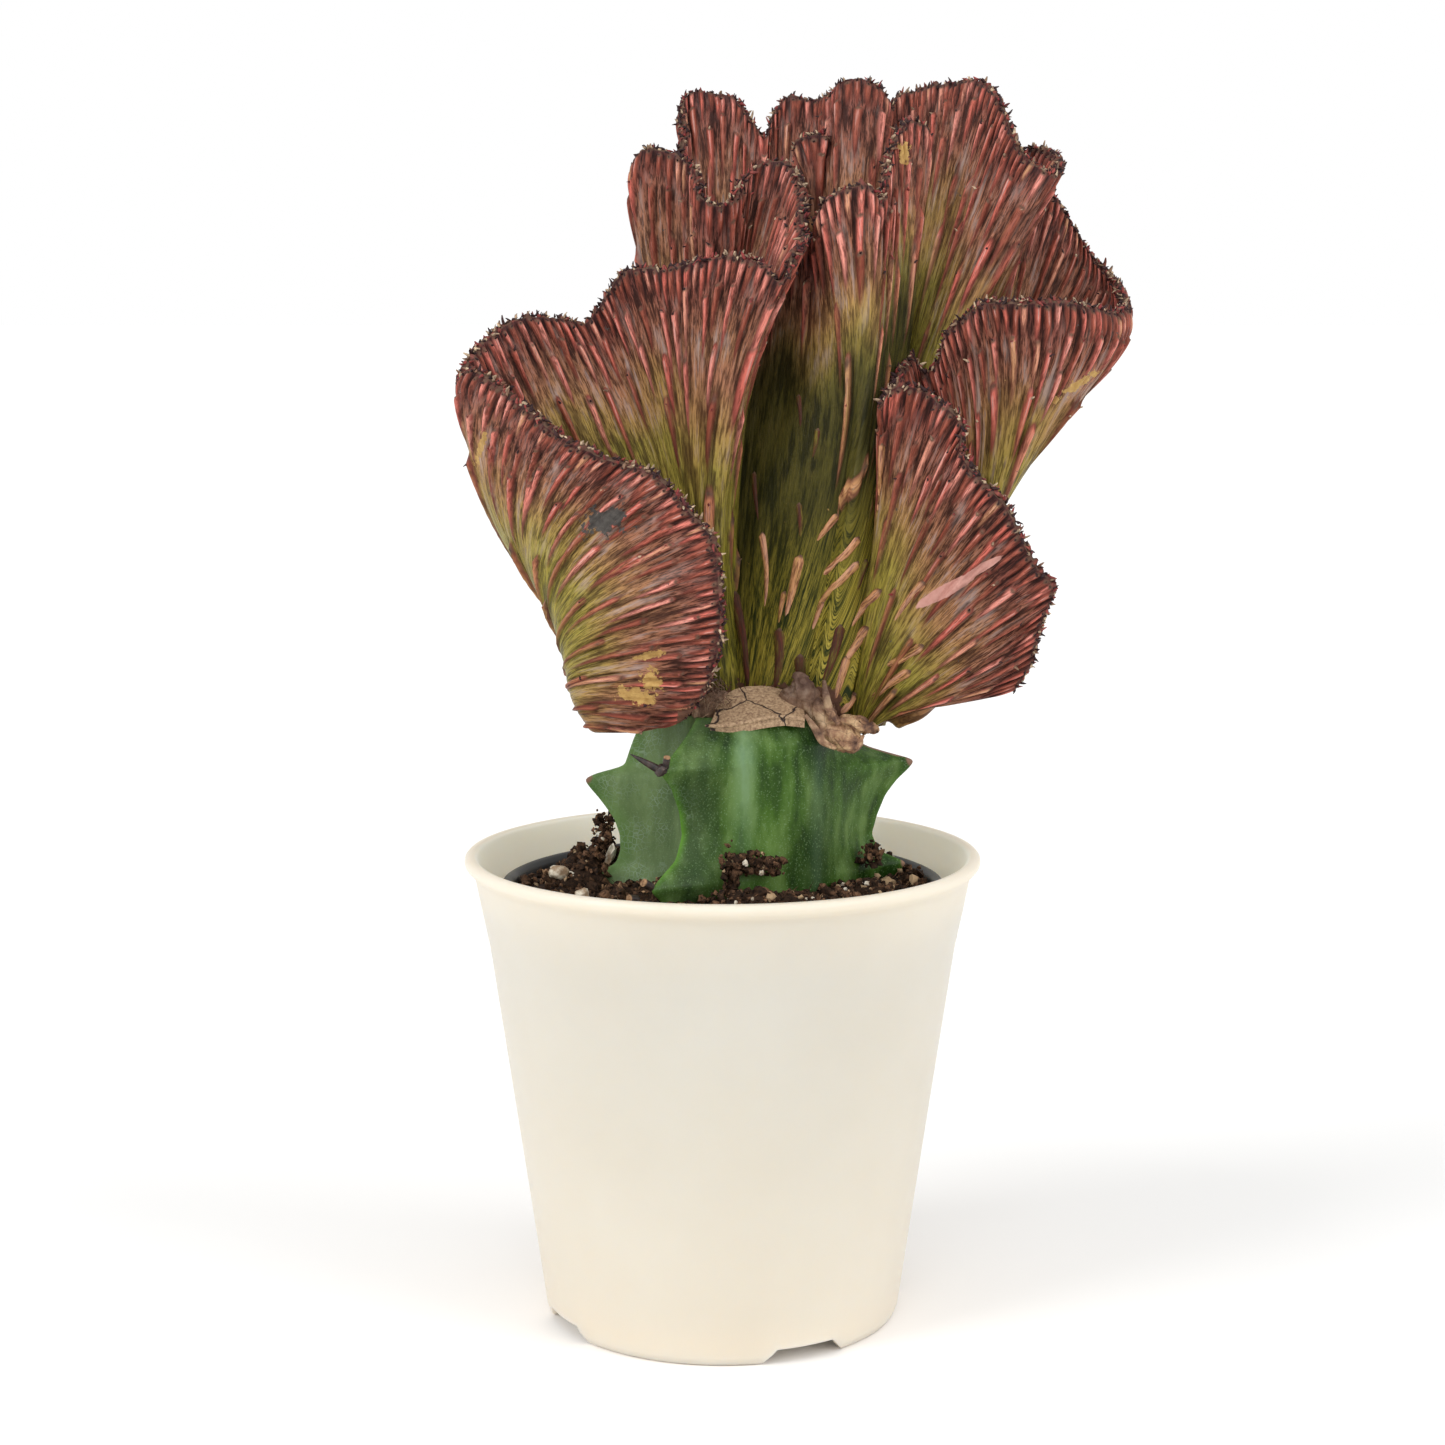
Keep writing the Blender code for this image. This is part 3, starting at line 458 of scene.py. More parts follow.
def aimed(direction, spin=0.0):
    """A turn that brings Z to the direction."""
    return Vector(direction).to_track_quat("Z", "Y").to_matrix() @ Matrix.Rotation(spin, 3, "Z")


# %% [markdown]
# ## The crest's growing edge
# A crested plant grows from a line instead of a point, so its top edge becomes far too long and folds
# into lobes. The whole crest is one such sheet: the table follows the edge from the low left lobe over
# the top to the low right lobe. Each row also gives the point that the rib below passes on its way
# from the graft. Two short sheets, in front of the top and behind it, have tables of their own.
# Sculpting by hand could not keep an edge nearly 90 cm long even, so it is computed.

# %% Growing edge
# Each row: x, y, z of a point on the edge, then x, y, z of the knee of the rib below it
EDGE_POINTS = [
    (-8.5, -26, 157.8, -28.3, -26, 156.8), (-6, -33, 161.5, -33.8, -25.5, 159.6),
    (-2, -38, 169, -35.4, -25, 163.8), (0, -42, 178, -35.6, -24.5, 168),
    (0, -46, 190, -36.8, -24, 172.5), (-2, -47, 203, -38.0, -23.5, 177.5),
    (-8, -46, 210, -39.4, -23, 183), (-16, -45, 218, -41.2, -22, 188), (-26, -43, 221, -44.3, -21, 194),
    (-37, -40, 226, -48, -19, 202), (-45, -36, 232, -53, -17.5, 210), (-53, -31, 238, -57.4, -15.5, 216.5),
    (-59, -26, 241, -60.5, -13, 222), (-63, -18, 239, -58, -9, 221), (-62, -11, 243, -47, -4, 214),
    (-57, -5, 249, -35, 0, 208), (-50, -1, 253, -26, 2, 203), (-41, 3, 253, -17, 2, 200),
    (-34, 6, 252, -11, 1, 198), (-30, 6, 257, -8, 0, 197), (-23, 3, 265, -6, -2, 196),
    (-14, 0, 265, -5, -3, 196), (-5, -4, 267, -4, -4, 196), (3, -8, 268, -3, -5, 197),
    (10, -11, 266, -2, -6, 201), (14, -12, 262, -2, -6, 204), (18, -12, 269, -1, -5, 207),
    (20, -7, 272, 0, -3, 209), (20, 1, 278, 1, 1, 213), (20, 10, 284, 3, 5, 215), (19, 18, 289, 3, 9, 217),
    (14, 24, 292, 3, 12, 219), (9, 25, 291, 3, 14, 219), (5, 22, 287, 2, 14, 219),
    (3, 18, 283, 1, 14, 219), (-2, 15, 281, -1, 14, 219), (-5, 15, 283, -3, 14, 219),
    (-6, 20, 289, -5, 15, 219), (-10, 25, 293, -7, 17, 219), (-16, 27, 295, -9, 19, 219),
    (-20, 27, 295, -12, 22, 221), (-22, 30, 292, -14, 24, 223), (-20, 38, 291, -11, 26, 222),
    (-14, 44, 293, -7, 26, 221), (-10, 50, 300, -5, 26, 223), (-11, 55, 307, -3, 25, 224),
    (-9, 58, 311, -1, 24, 224), (-2, 57, 311, 1, 22, 224), (4, 54, 309, 3, 20, 224),
    (8, 50, 303, 6, 18, 223), (11, 48, 299, 8, 17, 222), (13, 52, 305, 11, 16, 220),
    (18, 56, 310, 14, 15, 219), (23, 56, 309, 17, 13, 219), (28, 50, 310, 20, 10, 220),
    (29, 42, 310, 23, 7, 220), (32, 37, 313, 25, 5, 220), (36, 36, 313, 28, 4, 220),
    (40, 38, 311, 30, 4, 220), (43, 46, 307, 33, 5, 220), (46, 53, 310, 36, 7, 221),
    (50, 53, 311, 38, 9, 225), (54, 46, 312, 42, 11, 228), (60, 38, 312, 44, 11, 232),
    (66, 30, 312, 46, 10, 236), (70, 24, 307, 48, 8, 238), (72, 19, 301, 50, 7, 240),
    (74, 14, 295, 52, 5, 242), (78, 10, 290, 54, 3, 242), (81, 8, 288, 56, 3, 242),
    (84, 12, 290, 58, 5, 242), (84, 19, 293, 61, 10, 240), (81, 26, 295, 63, 16, 238),
    (78, 33, 295, 65, 20, 236), (80, 38, 289, 67, 23, 234), (87, 40, 282, 68, 23, 232),
    (91, 40, 276, 70, 22, 229), (95, 38, 270, 71, 20, 227), (100, 32, 264, 73, 17, 224),
    (102, 24, 259, 75, 12, 223), (101, 13, 255, 76, 7, 222.5), (99, 4, 255, 75.5, 2, 221),
    (95, -5, 254, 74, -2, 218.5), (88, -12, 256, 71, -4, 214), (81, -16, 257, 69, -5, 212),
    (75, -18, 257, 67, -6, 210), (69, -18, 257, 67, -6, 209), (63, -15, 257, 65, -6, 208),
    (59, -11, 254, 62, -5, 207), (55, -7, 250, 60, -4, 207), (53, -3, 243, 58, -2, 207),
    (50, 1, 240, 55, 0, 208), (47, 4, 244, 52, 2, 209), (44, -2, 242, 48, 1, 210),
    (42, -9, 238, 43, -1, 208), (39, -15, 234, 39, -4, 197), (39, -21, 233, 37, -7, 190),
    (41, -25, 237, 37, -10, 186), (47, -27, 237, 38, -12, 185), (51, -29, 234, 39, -14, 184),
    (57, -31, 229, 40, -15, 183), (57, -32, 222, 42, -16, 182), (62, -34, 215, 43, -17, 180),
    (67, -35, 210, 45, -18, 177), (71, -36, 202, 47, -18, 174), (75, -36, 195, 49, -18, 171),
    (79, -34, 190, 52, -18, 168), (78, -32, 185, 53, -18, 165), (76, -30, 178, 55, -18, 162),
    (75, -27, 171, 57.5, -19, 162), (71.4, -23, 163.4, 57.5, -18.5, 161.5),
]
FRONT_POINTS = [
    (2, 12, 246, -1, 9, 205), (8, 13, 258, 3, 8, 210), (15, 13, 268, 8, 5, 214),
    (20, 12, 274, 15, 2, 220), (23, 8, 273, 20, -2, 228), (23.5, 2, 277, 27, -7, 241),
    (26, -4, 282, 31, -8.5, 246), (30, -6, 284, 33, -9, 248), (35, -5, 285, 35, -9, 249),
    (38, -1, 281, 36.5, -8.5, 248), (40, 4, 288, 38, -7.5, 246), (42, 9, 296, 39.5, -6, 243),
    (45.5, 13, 301, 41, -4, 238), (49, 16, 301, 42, -3, 230), (52, 20, 298, 42, -2, 220),
]
FLAP_POINTS = [
    (20, 40, 290, 23, 30, 274), (19, 38, 297, 23, 29, 274), (22, 35, 299, 24, 28, 274),
    (26, 34, 299, 24, 28, 274), (28, 38, 296, 25, 30, 274),
]
# Where the ribs leave the graft: number of the edge point, then x, y, z
ROOTS = [
    (0, -5, -4, 154), (13, -5, -1, 158), (18, -2, 0, 157), (25, 3, -1.5, 156), (30, 4.5, 3.5, 156),
    (35, 2, 4, 156), (41, -1.5, 4.5, 156), (44, 0, 5.5, 156), (50, 8, 4, 155.5), (55, 13, 2, 155),
    (60, 22, 1.5, 154), (69, 31, 2, 153), (73, 31, 4, 153), (80, 37, 2.5, 153), (90, 33.5, -1, 153),
    (93, 33, 1.5, 153), (96, 33, -2, 153.5), (110, 38, -3, 152),
]
FRONT_ROOTS = [(0, 3, -2, 155), (5, 13, -8, 155), (14, 31, -8, 155)]
FLAP_ROOTS = [(0, 19, 23, 252), (4, 25, 23, 252)]
# How far the ribs lean from the straight way down, by the number of the edge point
LEANS = [(0, -0.2), (2, 0.0), (5, 0.1), (9, 0.15), (12, 0.1), (18, 0.0)]
FRONT_LEANS = [(0, 0.0), (4, 0.1), (8, 0.4), (14, 0.6)]
# Swelling of the sheet a little below its edge: number of the edge point, then x, y, z
SWELLS = [
    (0, -0.5, 0, -3.6), (2, 0, 0, 0), (10, 0, 0, 0), (12, -2.5, 0, 0), (14, 0, 0, 0), (38, 0, 0, 0),
    (41, -2.0, 0, 0), (44, 0, 0, 0), (75, 0, 0, 0), (77, 3.5, 0, -1), (79, 5, -1, -1.5), (82, 4, -2, -1),
    (85, 0, 0, 0), (108, 0, 0, 0), (112, 1, 0, -3.7),
]
# Millimetres along the edge from one column of the net to the next, and steps to measure it by
COLUMN, FINE_STEPS = 0.45, 4000
# Columns over which the line of knees and the line of roots are smoothed
KNEE_SOFT, ROOT_SOFT = 18, 12


def run_along(points):
    """The way along a line of points, from 0 at the first."""
    return np.concatenate([[0], np.cumsum(np.linalg.norm(np.diff(points, axis=0), axis=1))])


def through(points, params, where):
    """A smooth curve through points at rising parameters, read at other parameters."""
    slope = np.gradient(points, params, axis=0)
    i = np.clip(np.searchsorted(params, where, side="right") - 1, 0, len(params) - 2)
    width = (params[i + 1] - params[i])[:, None]
    s = ((where - params[i]) / (params[i + 1] - params[i]))[:, None]
    return ((2 * s ** 3 - 3 * s ** 2 + 1) * points[i] + (s ** 3 - 2 * s ** 2 + s) * width * slope[i]
            + (3 * s ** 2 - 2 * s ** 3) * points[i + 1] + (s ** 3 - s ** 2) * width * slope[i + 1])


def growing_edge(table, roots):
    """Edge, knee and root points every COLUMN along the edge, and the number of the table's row."""
    table, roots = np.array(table, float), np.array(roots, float)
    points = table[:, :3]
    params = run_along(points)
    fine = np.linspace(0, params[-1], FINE_STEPS)
    run = run_along(through(points, params, fine))
    where = np.interp(np.linspace(0, run[-1], int(run[-1] / COLUMN) + 1), run, fine)
    number = np.interp(where, params, np.arange(len(table)))
    root = np.stack([np.interp(number, roots[:, 0], roots[:, k]) for k in (1, 2, 3)], axis=1)
    knee = softened(through(table[:, 3:], params, where), KNEE_SOFT)
    return through(points, params, where), knee, softened(root, ROOT_SOFT), number


edge_line = growing_edge(EDGE_POINTS, ROOTS)[0]
print("growing edge in mm:", round(COLUMN * (len(edge_line) - 1)), "columns:", len(edge_line))

# %% [markdown]
# ## Ribs from the graft to the edge
# Below each point of the edge runs one rib, curved through its knee to the graft. The ribs stand close
# together at the graft and fan out upward. Rows are packed near the edge, where the plant is pleated
# most finely, and spaced out below.

# %% Net of ribs
# Rows are packed within NEAR millimetres of the edge; each rib is measured in RIB_STEPS steps
NEAR, NEAR_ROWS, DEEP_ROWS, RIB_STEPS = 20.0, 20, 32, 90
# The net stops short of the table's edge, which the crown and the tips then reach
SHORT = 1.1
# Depth at which the sheet swells most
SWELL_DEPTH = 13


class Sheet:
    """Values on a net: axis 0 runs along the growing edge, axis 1 from the edge down."""


def rib_net(table, roots, thick, thin):
    """The middle of a sheet; half its thickness is thick at the graft and less by thin at the edge."""
    net = Sheet()
    edge, knee, root, net.number = growing_edge(table, roots)
    edge = edge - SHORT * unit(softened(edge - knee, 6))
    low = np.linalg.norm(knee - root, axis=1)
    high = np.linalg.norm(edge - knee, axis=1)
    t = np.clip(low / (low + high), 0.2, 0.88)[:, None]
    pull = (knee - (1 - t) ** 2 * root - t ** 2 * edge) / (2 * t * (1 - t))
    v = np.linspace(1, 0, RIB_STEPS)
    w = v[None, :, None]
    ribs = (1 - w) ** 2 * root[:, None] + 2 * w * (1 - w) * pull[:, None] + w ** 2 * edge[:, None]
    run = np.cumsum(np.linalg.norm(np.diff(ribs, axis=1), axis=2), axis=1)
    run = np.concatenate([np.zeros((len(run), 1)), run], axis=1)
    total = run[:, -1:]
    near = np.minimum(NEAR, 0.3 * total)
    first = (np.arange(NEAR_ROWS) / NEAR_ROWS) ** 1.35
    rest = np.arange(DEEP_ROWS + 1) / DEEP_ROWS
    net.depth = np.concatenate([near * first, near + (total - near) * rest], axis=1)
    net.points = np.empty((*net.depth.shape, 3))
    net.rise = np.empty(net.depth.shape)
    for i in range(len(ribs)):
        for k in range(3):
            net.points[i, :, k] = np.interp(net.depth[i], run[i], ribs[i, :, k])
        net.rise[i] = np.interp(net.depth[i], run[i], v)
    if table is EDGE_POINTS:
        swell = np.stack([np.interp(net.number, *np.transpose(SWELLS)[[0, k]]) for k in (1, 2, 3)], axis=1)
        share = net.depth / SWELL_DEPTH * np.exp(1 - net.depth / SWELL_DEPTH)
        net.points += share[..., None] * softened(swell, 8)[:, None]
    soft = softened(net.points, 6)
    across = np.gradient(soft, axis=0)
    step = np.linalg.norm(across, axis=2)
    net.up = unit(-np.gradient(soft, axis=1))
    net.normal = unit(softened(unit(np.cross(across, net.up)), 7))
    net.bend = softened(np.sum(np.gradient(net.normal, axis=0) * across, axis=2) / (step + 1e-6) ** 2, 7)
    net.ratio = np.clip(step / COLUMN, 0.02, 3.0)
    net.half = thick - thin * np.sqrt(net.rise)
    leans = {id(EDGE_POINTS): LEANS, id(FRONT_POINTS): FRONT_LEANS}.get(id(table), [(0, 0), (1, 0)])
    net.lean = softened(np.interp(net.number, *np.transpose(leans)), 12)[:, None] * np.ones_like(net.depth)
    if table is FRONT_POINTS:
        net.lean *= np.clip((net.depth - 50) / 30, 0, 1)
    drift = net.lean[:, 1:] * np.diff(net.depth, axis=1) / np.clip(net.ratio[:, 1:], 0.3, 3)
    drift = np.concatenate([np.zeros((len(drift), 1)), np.cumsum(drift, axis=1)], axis=1)
    net.along = np.arange(len(step))[:, None] * COLUMN + drift
    return net


nets = {
    "main": rib_net(EDGE_POINTS, ROOTS, 4.7, 3.8),
    "front": rib_net(FRONT_POINTS, FRONT_ROOTS, 3.6, 2.7),
    "flap": rib_net(FLAP_POINTS, FLAP_ROOTS, 2.4, 1.5),
}
print("longest rib in mm:", round(float(nets["main"].depth.max()), 1))

# %% [markdown]
# ## Finger-like ribs
# From close by, both faces are covered with raised fingers, like matchsticks laid along the ribs.
# They stand close together at the edge and get longer and sparser below, and each ends above in a
# dark tip. Every finger is laid on the net by formula: steep at its tip, fading out below. The same
# pass stores masks of the fingers, their tips and the grooves beside them for the finish; the groove
# mask sinks the skin a little and paints shade there. The middle of the crest is left free here, for
# the large fingers that come later.

# %% Lay fingers on the net
# No finger starts closer than this to the graft
FINGER_ROOM = 7
# Distance of the tips from the edge, spread, gap to the next, length, half width and height
FINGERS = [
    (0.4, 0.7, 2.3, 8.5, 0.80, 1.25), (8.0, 3.5, 4.4, 16.0, 0.85, 1.45), (20, 5.0, 7.0, 19, 0.90, 1.45),
    (35, 6, 10.5, 21, 0.95, 1.4), (52, 7, 13.0, 20, 1.0, 1.3), (70, 7, 12.0, 20, 1.1, 1.3),
    (88, 8, 10.0, 18, 1.2, 1.3), (104, 8, 9.0, 15.0, 1.3, 1.3),
]


def raise_finger(face, block, down, off, long, tall, tone):
    """Adds one finger to the height and masks of a face, from the places along and across it."""
    t = np.clip(down / long, 0, 1)
    head = np.clip((down + 0.45) / 0.9, 0, 1) ** 0.7
    lump = tall * np.clip(1 - off ** 2.4, 0, 1) ** 0.65 * head * (1 - t) ** 0.7
    colour = np.clip(1.1 - off, 0, 1) ** 0.8 * head * np.clip((1 - t) / 0.7, 0, 1)
    face.hue[block] = np.where(colour > np.maximum(face.finger[block], 0.02), tone, face.hue[block])
    face.height[block] = np.maximum(face.height[block], lump)
    face.finger[block] = np.maximum(face.finger[block], colour)
    end = np.exp(-((down - 0.2) / 0.8) ** 2) * np.clip(1.3 - off, 0, 1)
    face.tip[block] = np.maximum(face.tip[block], end)
    # Groove beside the finger: a small dip, and painted shade in the finish
    beside = np.exp(-((off - 1.35) / 0.35) ** 2) * head * (1 - t)
    face.groove[block] = np.maximum(face.groove[block], beside)


def kept_free(net, i, j, start):
    """Whether a finger would stand where the large fingers come, on the front of the middle."""
    x, z = net.points[i, j, 0], net.points[i, j, 2]
    small = net is not nets["main"]
    return (small and start > 14 and net.number[i] < 5
            or z < 208 and 2 < x < 41 and (small or net.number[i] > 92))


def lay_fingers(net, centre):
    """Height of the fingers over one face, their masks, and the net places of their tips."""
    shape = net.depth.shape
    face = Sheet()
    face.height, face.finger, face.tip, face.groove = (np.zeros(shape) for _ in range(4))
    face.hue = np.full(shape, 0.5)
    face.tips = []
    for top, spread, gap, length, half, tall in FINGERS:
        column_row = np.array([np.searchsorted(row, top) for row in net.depth]).clip(0, shape[1] - 1)
        run = np.cumsum(COLUMN * net.ratio[np.arange(shape[0]), column_row])
        place = chance.uniform(0.3, 1.0) * gap
        while place < run[-1]:
            i = int(np.searchsorted(run, place))
            place += gap * chance.uniform(0.72, 1.28)
            start = top + chance.uniform(-spread, spread)
            long = length * chance.uniform(0.75, 1.3)
            if i >= shape[0] or start + FINGER_ROOM > net.depth[i, -1]:
                continue
            j = min(int(np.searchsorted(net.depth[i], start)), shape[1] - 1)
            if centre and kept_free(net, i, j, start):
                continue
            j0 = max(int(np.searchsorted(net.depth[i], start - 0.8)) - 1, 0)
            j1 = int(np.searchsorted(net.depth[i], start + long)) + 1
            narrow = COLUMN * max(net.ratio[i, min(j1, shape[1] - 1)], 0.06)
            reach = int(1.9 * half / narrow) + 2
            aside = int(1.2 * long * net.lean[i, min(j1, shape[1] - 1)] / narrow)
            i0, i1 = max(i - reach - max(aside, 0), 0), min(i + reach + 1 - min(aside, 0), shape[0])
            block = (slice(i0, i1), slice(j0, j1))
            down = net.depth[block] - start
            t = np.clip(down / long, 0, 1)
            sway = 0.5 * chance.uniform(-1, 1) * np.sin(3 * t)
            wide = half * chance.uniform(0.8, 1.2) * (1.0 - 0.4 * t)
            off = np.abs((net.along[block] - net.along[i, j]) * net.ratio[block] + sway) / wide
            raise_finger(face, block, down, off, long, tall * chance.uniform(0.8, 1.2), chance.random())
            face.tips.append((i, int(np.searchsorted(net.depth[i], start + 0.2)), top))
    return face


for name, net in nets.items():
    span = len(net.depth)
    from_end = COLUMN * np.minimum(np.arange(span), np.arange(span)[::-1]) + 0.05
    rounding = np.sqrt(1 - (1 - np.clip(from_end / 3.5, 0, 1)) ** 2)[:, None]
    fold = softened(dice.normal(0, 1, span), 4.0)[:, None] * np.clip(net.depth / 12, 0.15, 1) * 0.9
    net.faces = []
    for sign in (1, -1):
        face = lay_fingers(net, sign == 1 and name != "flap")
        relief = (face.height - 0.5 * face.groove) * np.clip(net.ratio / 0.2, 0.4, 1)
        relief *= np.clip(0.5 + net.depth / 9, 0, 1)
        reach = (net.half + relief + sign * 0.3 * fold) * rounding
        face.reach = np.minimum(reach, 0.7 / (np.maximum(-sign * net.bend, 0) + 0.02))
        net.faces.append(face)
    print(name, "fingers:", [len(face.tips) for face in net.faces])

# %% [markdown]
# ## From the net to closed pieces
# Each column becomes a closed loop: up the front, over a rounded crown, down the back. Loops joined in
# order give a skin with its faces outward. The long sheet is divided into three pieces so that none
# gets too heavy. Masks are stored on the points: fingers, tips and grooves, then the distance from the
# edge, where the plant has gold, pink, grey or corky scars, and the front sheet's cleft, where shade is
# painted.

# %% Skin of the crest
# Angles of the points over the crown, from the front face to the back one
CROWN = np.radians([25, 50, 75, 105, 130, 155])
# Kind of scar, x and z of its middle, half sizes, turn in degrees
SCARS = [
    ("gold", -20.5, 163.6, 5.6, 2.4, -12), ("gold", -17.0, 167.6, 3.0, 3.0, 20),
    ("gold", -17.5, 173.6, 4.4, 1.0, 14), ("gold", 44.7, 292.7, 1.7, 3.0, 0),
    ("gold", 86.0, 236.0, 8.0, 1.2, 34), ("gold", -58.0, 222.0, 5.0, 1.0, 70),
    ("pink", 53.6, 188.0, 10.0, 1.8, 33), ("pink", 61.0, 193.4, 7.5, 1.1, 34),
    ("grey", -27.8, 205.2, 7.0, 3.4, 22),
]
# How soon the red turns olive below the edge, by the number of the edge point
RIPENESS = [(0, 1.08), (18, 1.08), (22, 0.72), (76, 0.72), (80, 0.9), (200, 0.9)]
# Depth at which the painted shade in the front sheet's cleft begins, by the number of the edge point
CLEFT_SHADE = [(0, 9), (2.5, 12), (5, 28)]


def scar_masks(points):
    """Strength of each kind of scar at the points, seen from the front."""
    scars = {kind: np.zeros(len(points)) for kind in ("gold", "pink", "grey")}
    for kind, x, z, wide, tall, turn in SCARS:
        c, s = math.cos(math.radians(turn)), math.sin(math.radians(turn))
        dx, dz = points[:, 0] - x, points[:, 2] - z
        far = ((dx * c + dz * s) / wide) ** 2 + ((-dx * s + dz * c) / tall) ** 2
        scars[kind] = np.maximum(scars[kind], np.exp(-far) * (points[:, 1] < 12))
    return scars


def skin_of(name, net, first, last):
    """A closed piece over some of the net's columns, with its masks."""
    rows = net.depth.shape[1]
    points, masks = [], []
    for face, sign, order in zip(net.faces, (1, -1), (slice(None, None, -1), slice(None))):
        points.append((net.points + sign * face.reach[..., None] * net.normal)[:, order])
        masks.append([mask[:, order] for mask in (
            face.finger, face.tip, face.hue, face.groove, net.depth, net.ratio)])
    (front, back) = (face.reach[:, 0] for face in net.faces)
    combs = np.maximum(net.faces[0].finger[:, 0], net.faces[1].finger[:, 0])
    jag = np.clip(0.55 + 0.9 * combs + 0.4 * softened(dice.normal(0, 1.6, len(front)), 1.0), 0.3, 1.9)
    crown = np.stack([
        net.points[:, 0] + (np.cos(a) * np.where(math.cos(a) > 0, front, back))[:, None] * net.normal[:, 0]
        + (np.sin(a) * np.minimum(front, back) * jag)[:, None] * net.up[:, 0] for a in CROWN], axis=1)
    flat = np.ones((len(front), len(CROWN)))
    comb = combs[:, None] * flat
    top_masks = [0.8 * comb, 0.9 * (1 - comb), net.faces[0].hue[:, :1] * flat, 0 * flat, 0 * flat, flat]
    loops = np.concatenate([points[0], crown, points[1]], axis=1)[first:last + 1]
    masks = [np.concatenate(parts, axis=1)[first:last + 1] for parts in zip(masks[0], top_masks, masks[1])]
    columns, loop = loops.shape[:2]
    a = (np.arange(columns - 1)[:, None] * loop + np.arange(loop)[None, :]).ravel()
    b = (np.arange(columns - 1)[:, None] * loop + (np.arange(loop)[None, :] + 1) % loop).ravel()
    faces = np.stack([a, a + loop, b + loop, b], axis=1).tolist()
    skin_faces = len(faces)
    for start, turned in ((0, False), ((columns - 1) * loop, True)):
        for k in range(loop // 2):
            corners = list(dict.fromkeys(
                [start + k, start + k + 1, start + loop - 2 - k, start + loop - 1 - k]))
            if len(corners) > 2:
                faces.append(corners[::-1] if turned else corners)
    flat_points = loops.reshape(-1, 3)
    made = mesh_piece(name, flat_points, faces)
    made["skin_faces"] = skin_faces
    finger, tip, hue, groove, depth, ratio = (mask.ravel() for mask in masks)
    ripe = np.interp(net.number, *np.transpose(RIPENESS)) if net is nets["main"] else np.ones(len(front))
    ripe = np.repeat(ripe[first:last + 1], loop)
    along = np.concatenate([net.along[:, ::-1], net.along[:, :1] * flat, net.along], axis=1)[first:last + 1]
    side = np.tile(np.where(np.arange(loop) < rows + len(CROWN) // 2, 0.0, 60.0), columns)
    cleft_shade = np.zeros(len(flat_points))
    # The front sheet's cleft, where shade is painted
    if net is nets["front"]:
        begin = np.repeat(np.interp(net.number, *np.transpose(CLEFT_SHADE)), loop)
        cleft_shade = np.clip((depth - begin) / 16, 0, 1) * np.clip((104 - depth) / 34, 0, 1)
    scars = scar_masks(flat_points)
    cork = np.clip((167.5 - flat_points[:, 2]) / 10, 0, 1) * np.clip((flat_points[:, 0] + 14) / 6, 0, 1)
    cork = cork * np.clip((36 - flat_points[:, 0]) / 10, 0, 1)
    store(made, "skin", np.stack([finger, tip, hue, groove], axis=1))
    store(made, "zone", np.stack([ripe * depth / 120, scars["gold"], scars["pink"], cork], axis=1))
    store(made, "rib_place", np.stack([along.ravel(), depth, side], axis=1))
    for label, values in (("ratio", ratio), ("grey", scars["grey"]), ("cleft_shade", cleft_shade)):
        store(made, label, values)
    return made


# The long sheet is cut at these numbers of edge points
CUTS = (36.5, 72.5)
main = nets["main"]
cuts = [0, *(int(np.searchsorted(main.number, number)) for number in CUTS), len(main.depth) - 1]
crest_skins = [skin_of("crest_" + part, main, cuts[k], cuts[k + 1])
               for k, part in enumerate(("left", "top", "right"))]
for name in ("front", "flap"):
    crest_skins.append(skin_of("crest_" + name, nets[name], 0, len(nets[name].depth) - 1))
print("crest points:", sum(len(piece.data.vertices) for piece in crest_skins))

# %% [markdown]
# ## Large fingers over the graft
# Above the graft a fan of thick salmon fingers crosses the ribs, and brown stalks stand at its foot.
# They do not follow the ribs, so each is laid on by itself: a tapered rod with a rounded head, whose
# line is dropped on the skin from the front and half sunk into it.

# %% Lay rods on the skin
# x and z of the tip, of the lower end, half width and hue
CENTRE_FINGERS = [
    (8.0, 214.6, 9.5, 200.7, 0.7, 0.02), (9.9, 200.0, 10.4, 178.3, 0.9, 0.5),
    (18.9, 207.7, 19.4, 197.0, 0.8, 0.02), (19.4, 195.0, 15.0, 175.4, 1.3, 0.55),
    (28.4, 205.2, 21.8, 196.1, 0.9, 0.4), (33.3, 199.8, 21.6, 187.6, 1.0, 0.5),
    (33.3, 193.7, 20.5, 176.9, 1.0, 0.6), (38.8, 187.0, 29.8, 175.4, 1.1, 0.5),
    (35.0, 194.2, 32.1, 184.8, 0.9, 0.02), (35.9, 177.4, 26.8, 164.2, 1.2, 0.55),
    (30.5, 170.4, 26.8, 155.7, 1.2, 0.6), (33.2, 160.5, 27.6, 153.5, 1.1, 0.4),
    (3.0, 185.0, 7.2, 156.0, 1.5, 0.02), (14.2, 177.0, 12.0, 157.3, 1.4, 0.02),
    (28.9, 178.3, 22.0, 157.5, 1.3, 0.02), (19.1, 170.8, 20.1, 156.5, 1.4, 0.02),
    (48.5, 190.0, 41.0, 177.3, 0.9, 0.6), (48.8, 174.2, 38.7, 167.5, 1.1, 0.6),
    (18.8, 233.9, 19.4, 224.7, 0.7, 0.02), (23.5, 225.9, 21.9, 216.9, 0.7, 0.02),
    (38.3, 222.9, 37.9, 206.2, 0.7, 0.5), (46.0, 167.5, 36.5, 159.0, 1.1, 0.5),
    (15.5, 186.0, 14.0, 176.0, 0.7, 0.3), (25.0, 184.0, 21.5, 174.0, 0.8, 0.3),
]
ROD_SIDES, ROD_STEPS = 12, 20
# How far in front of the pot's axis the eye's lines start, and where a line ends that misses
FAR_FRONT, NO_HIT = -90, -6.0
graph = bpy.context.evaluated_depsgraph_get()
skin_trees = [BVHTree.FromObject(piece, graph) for piece in crest_skins]


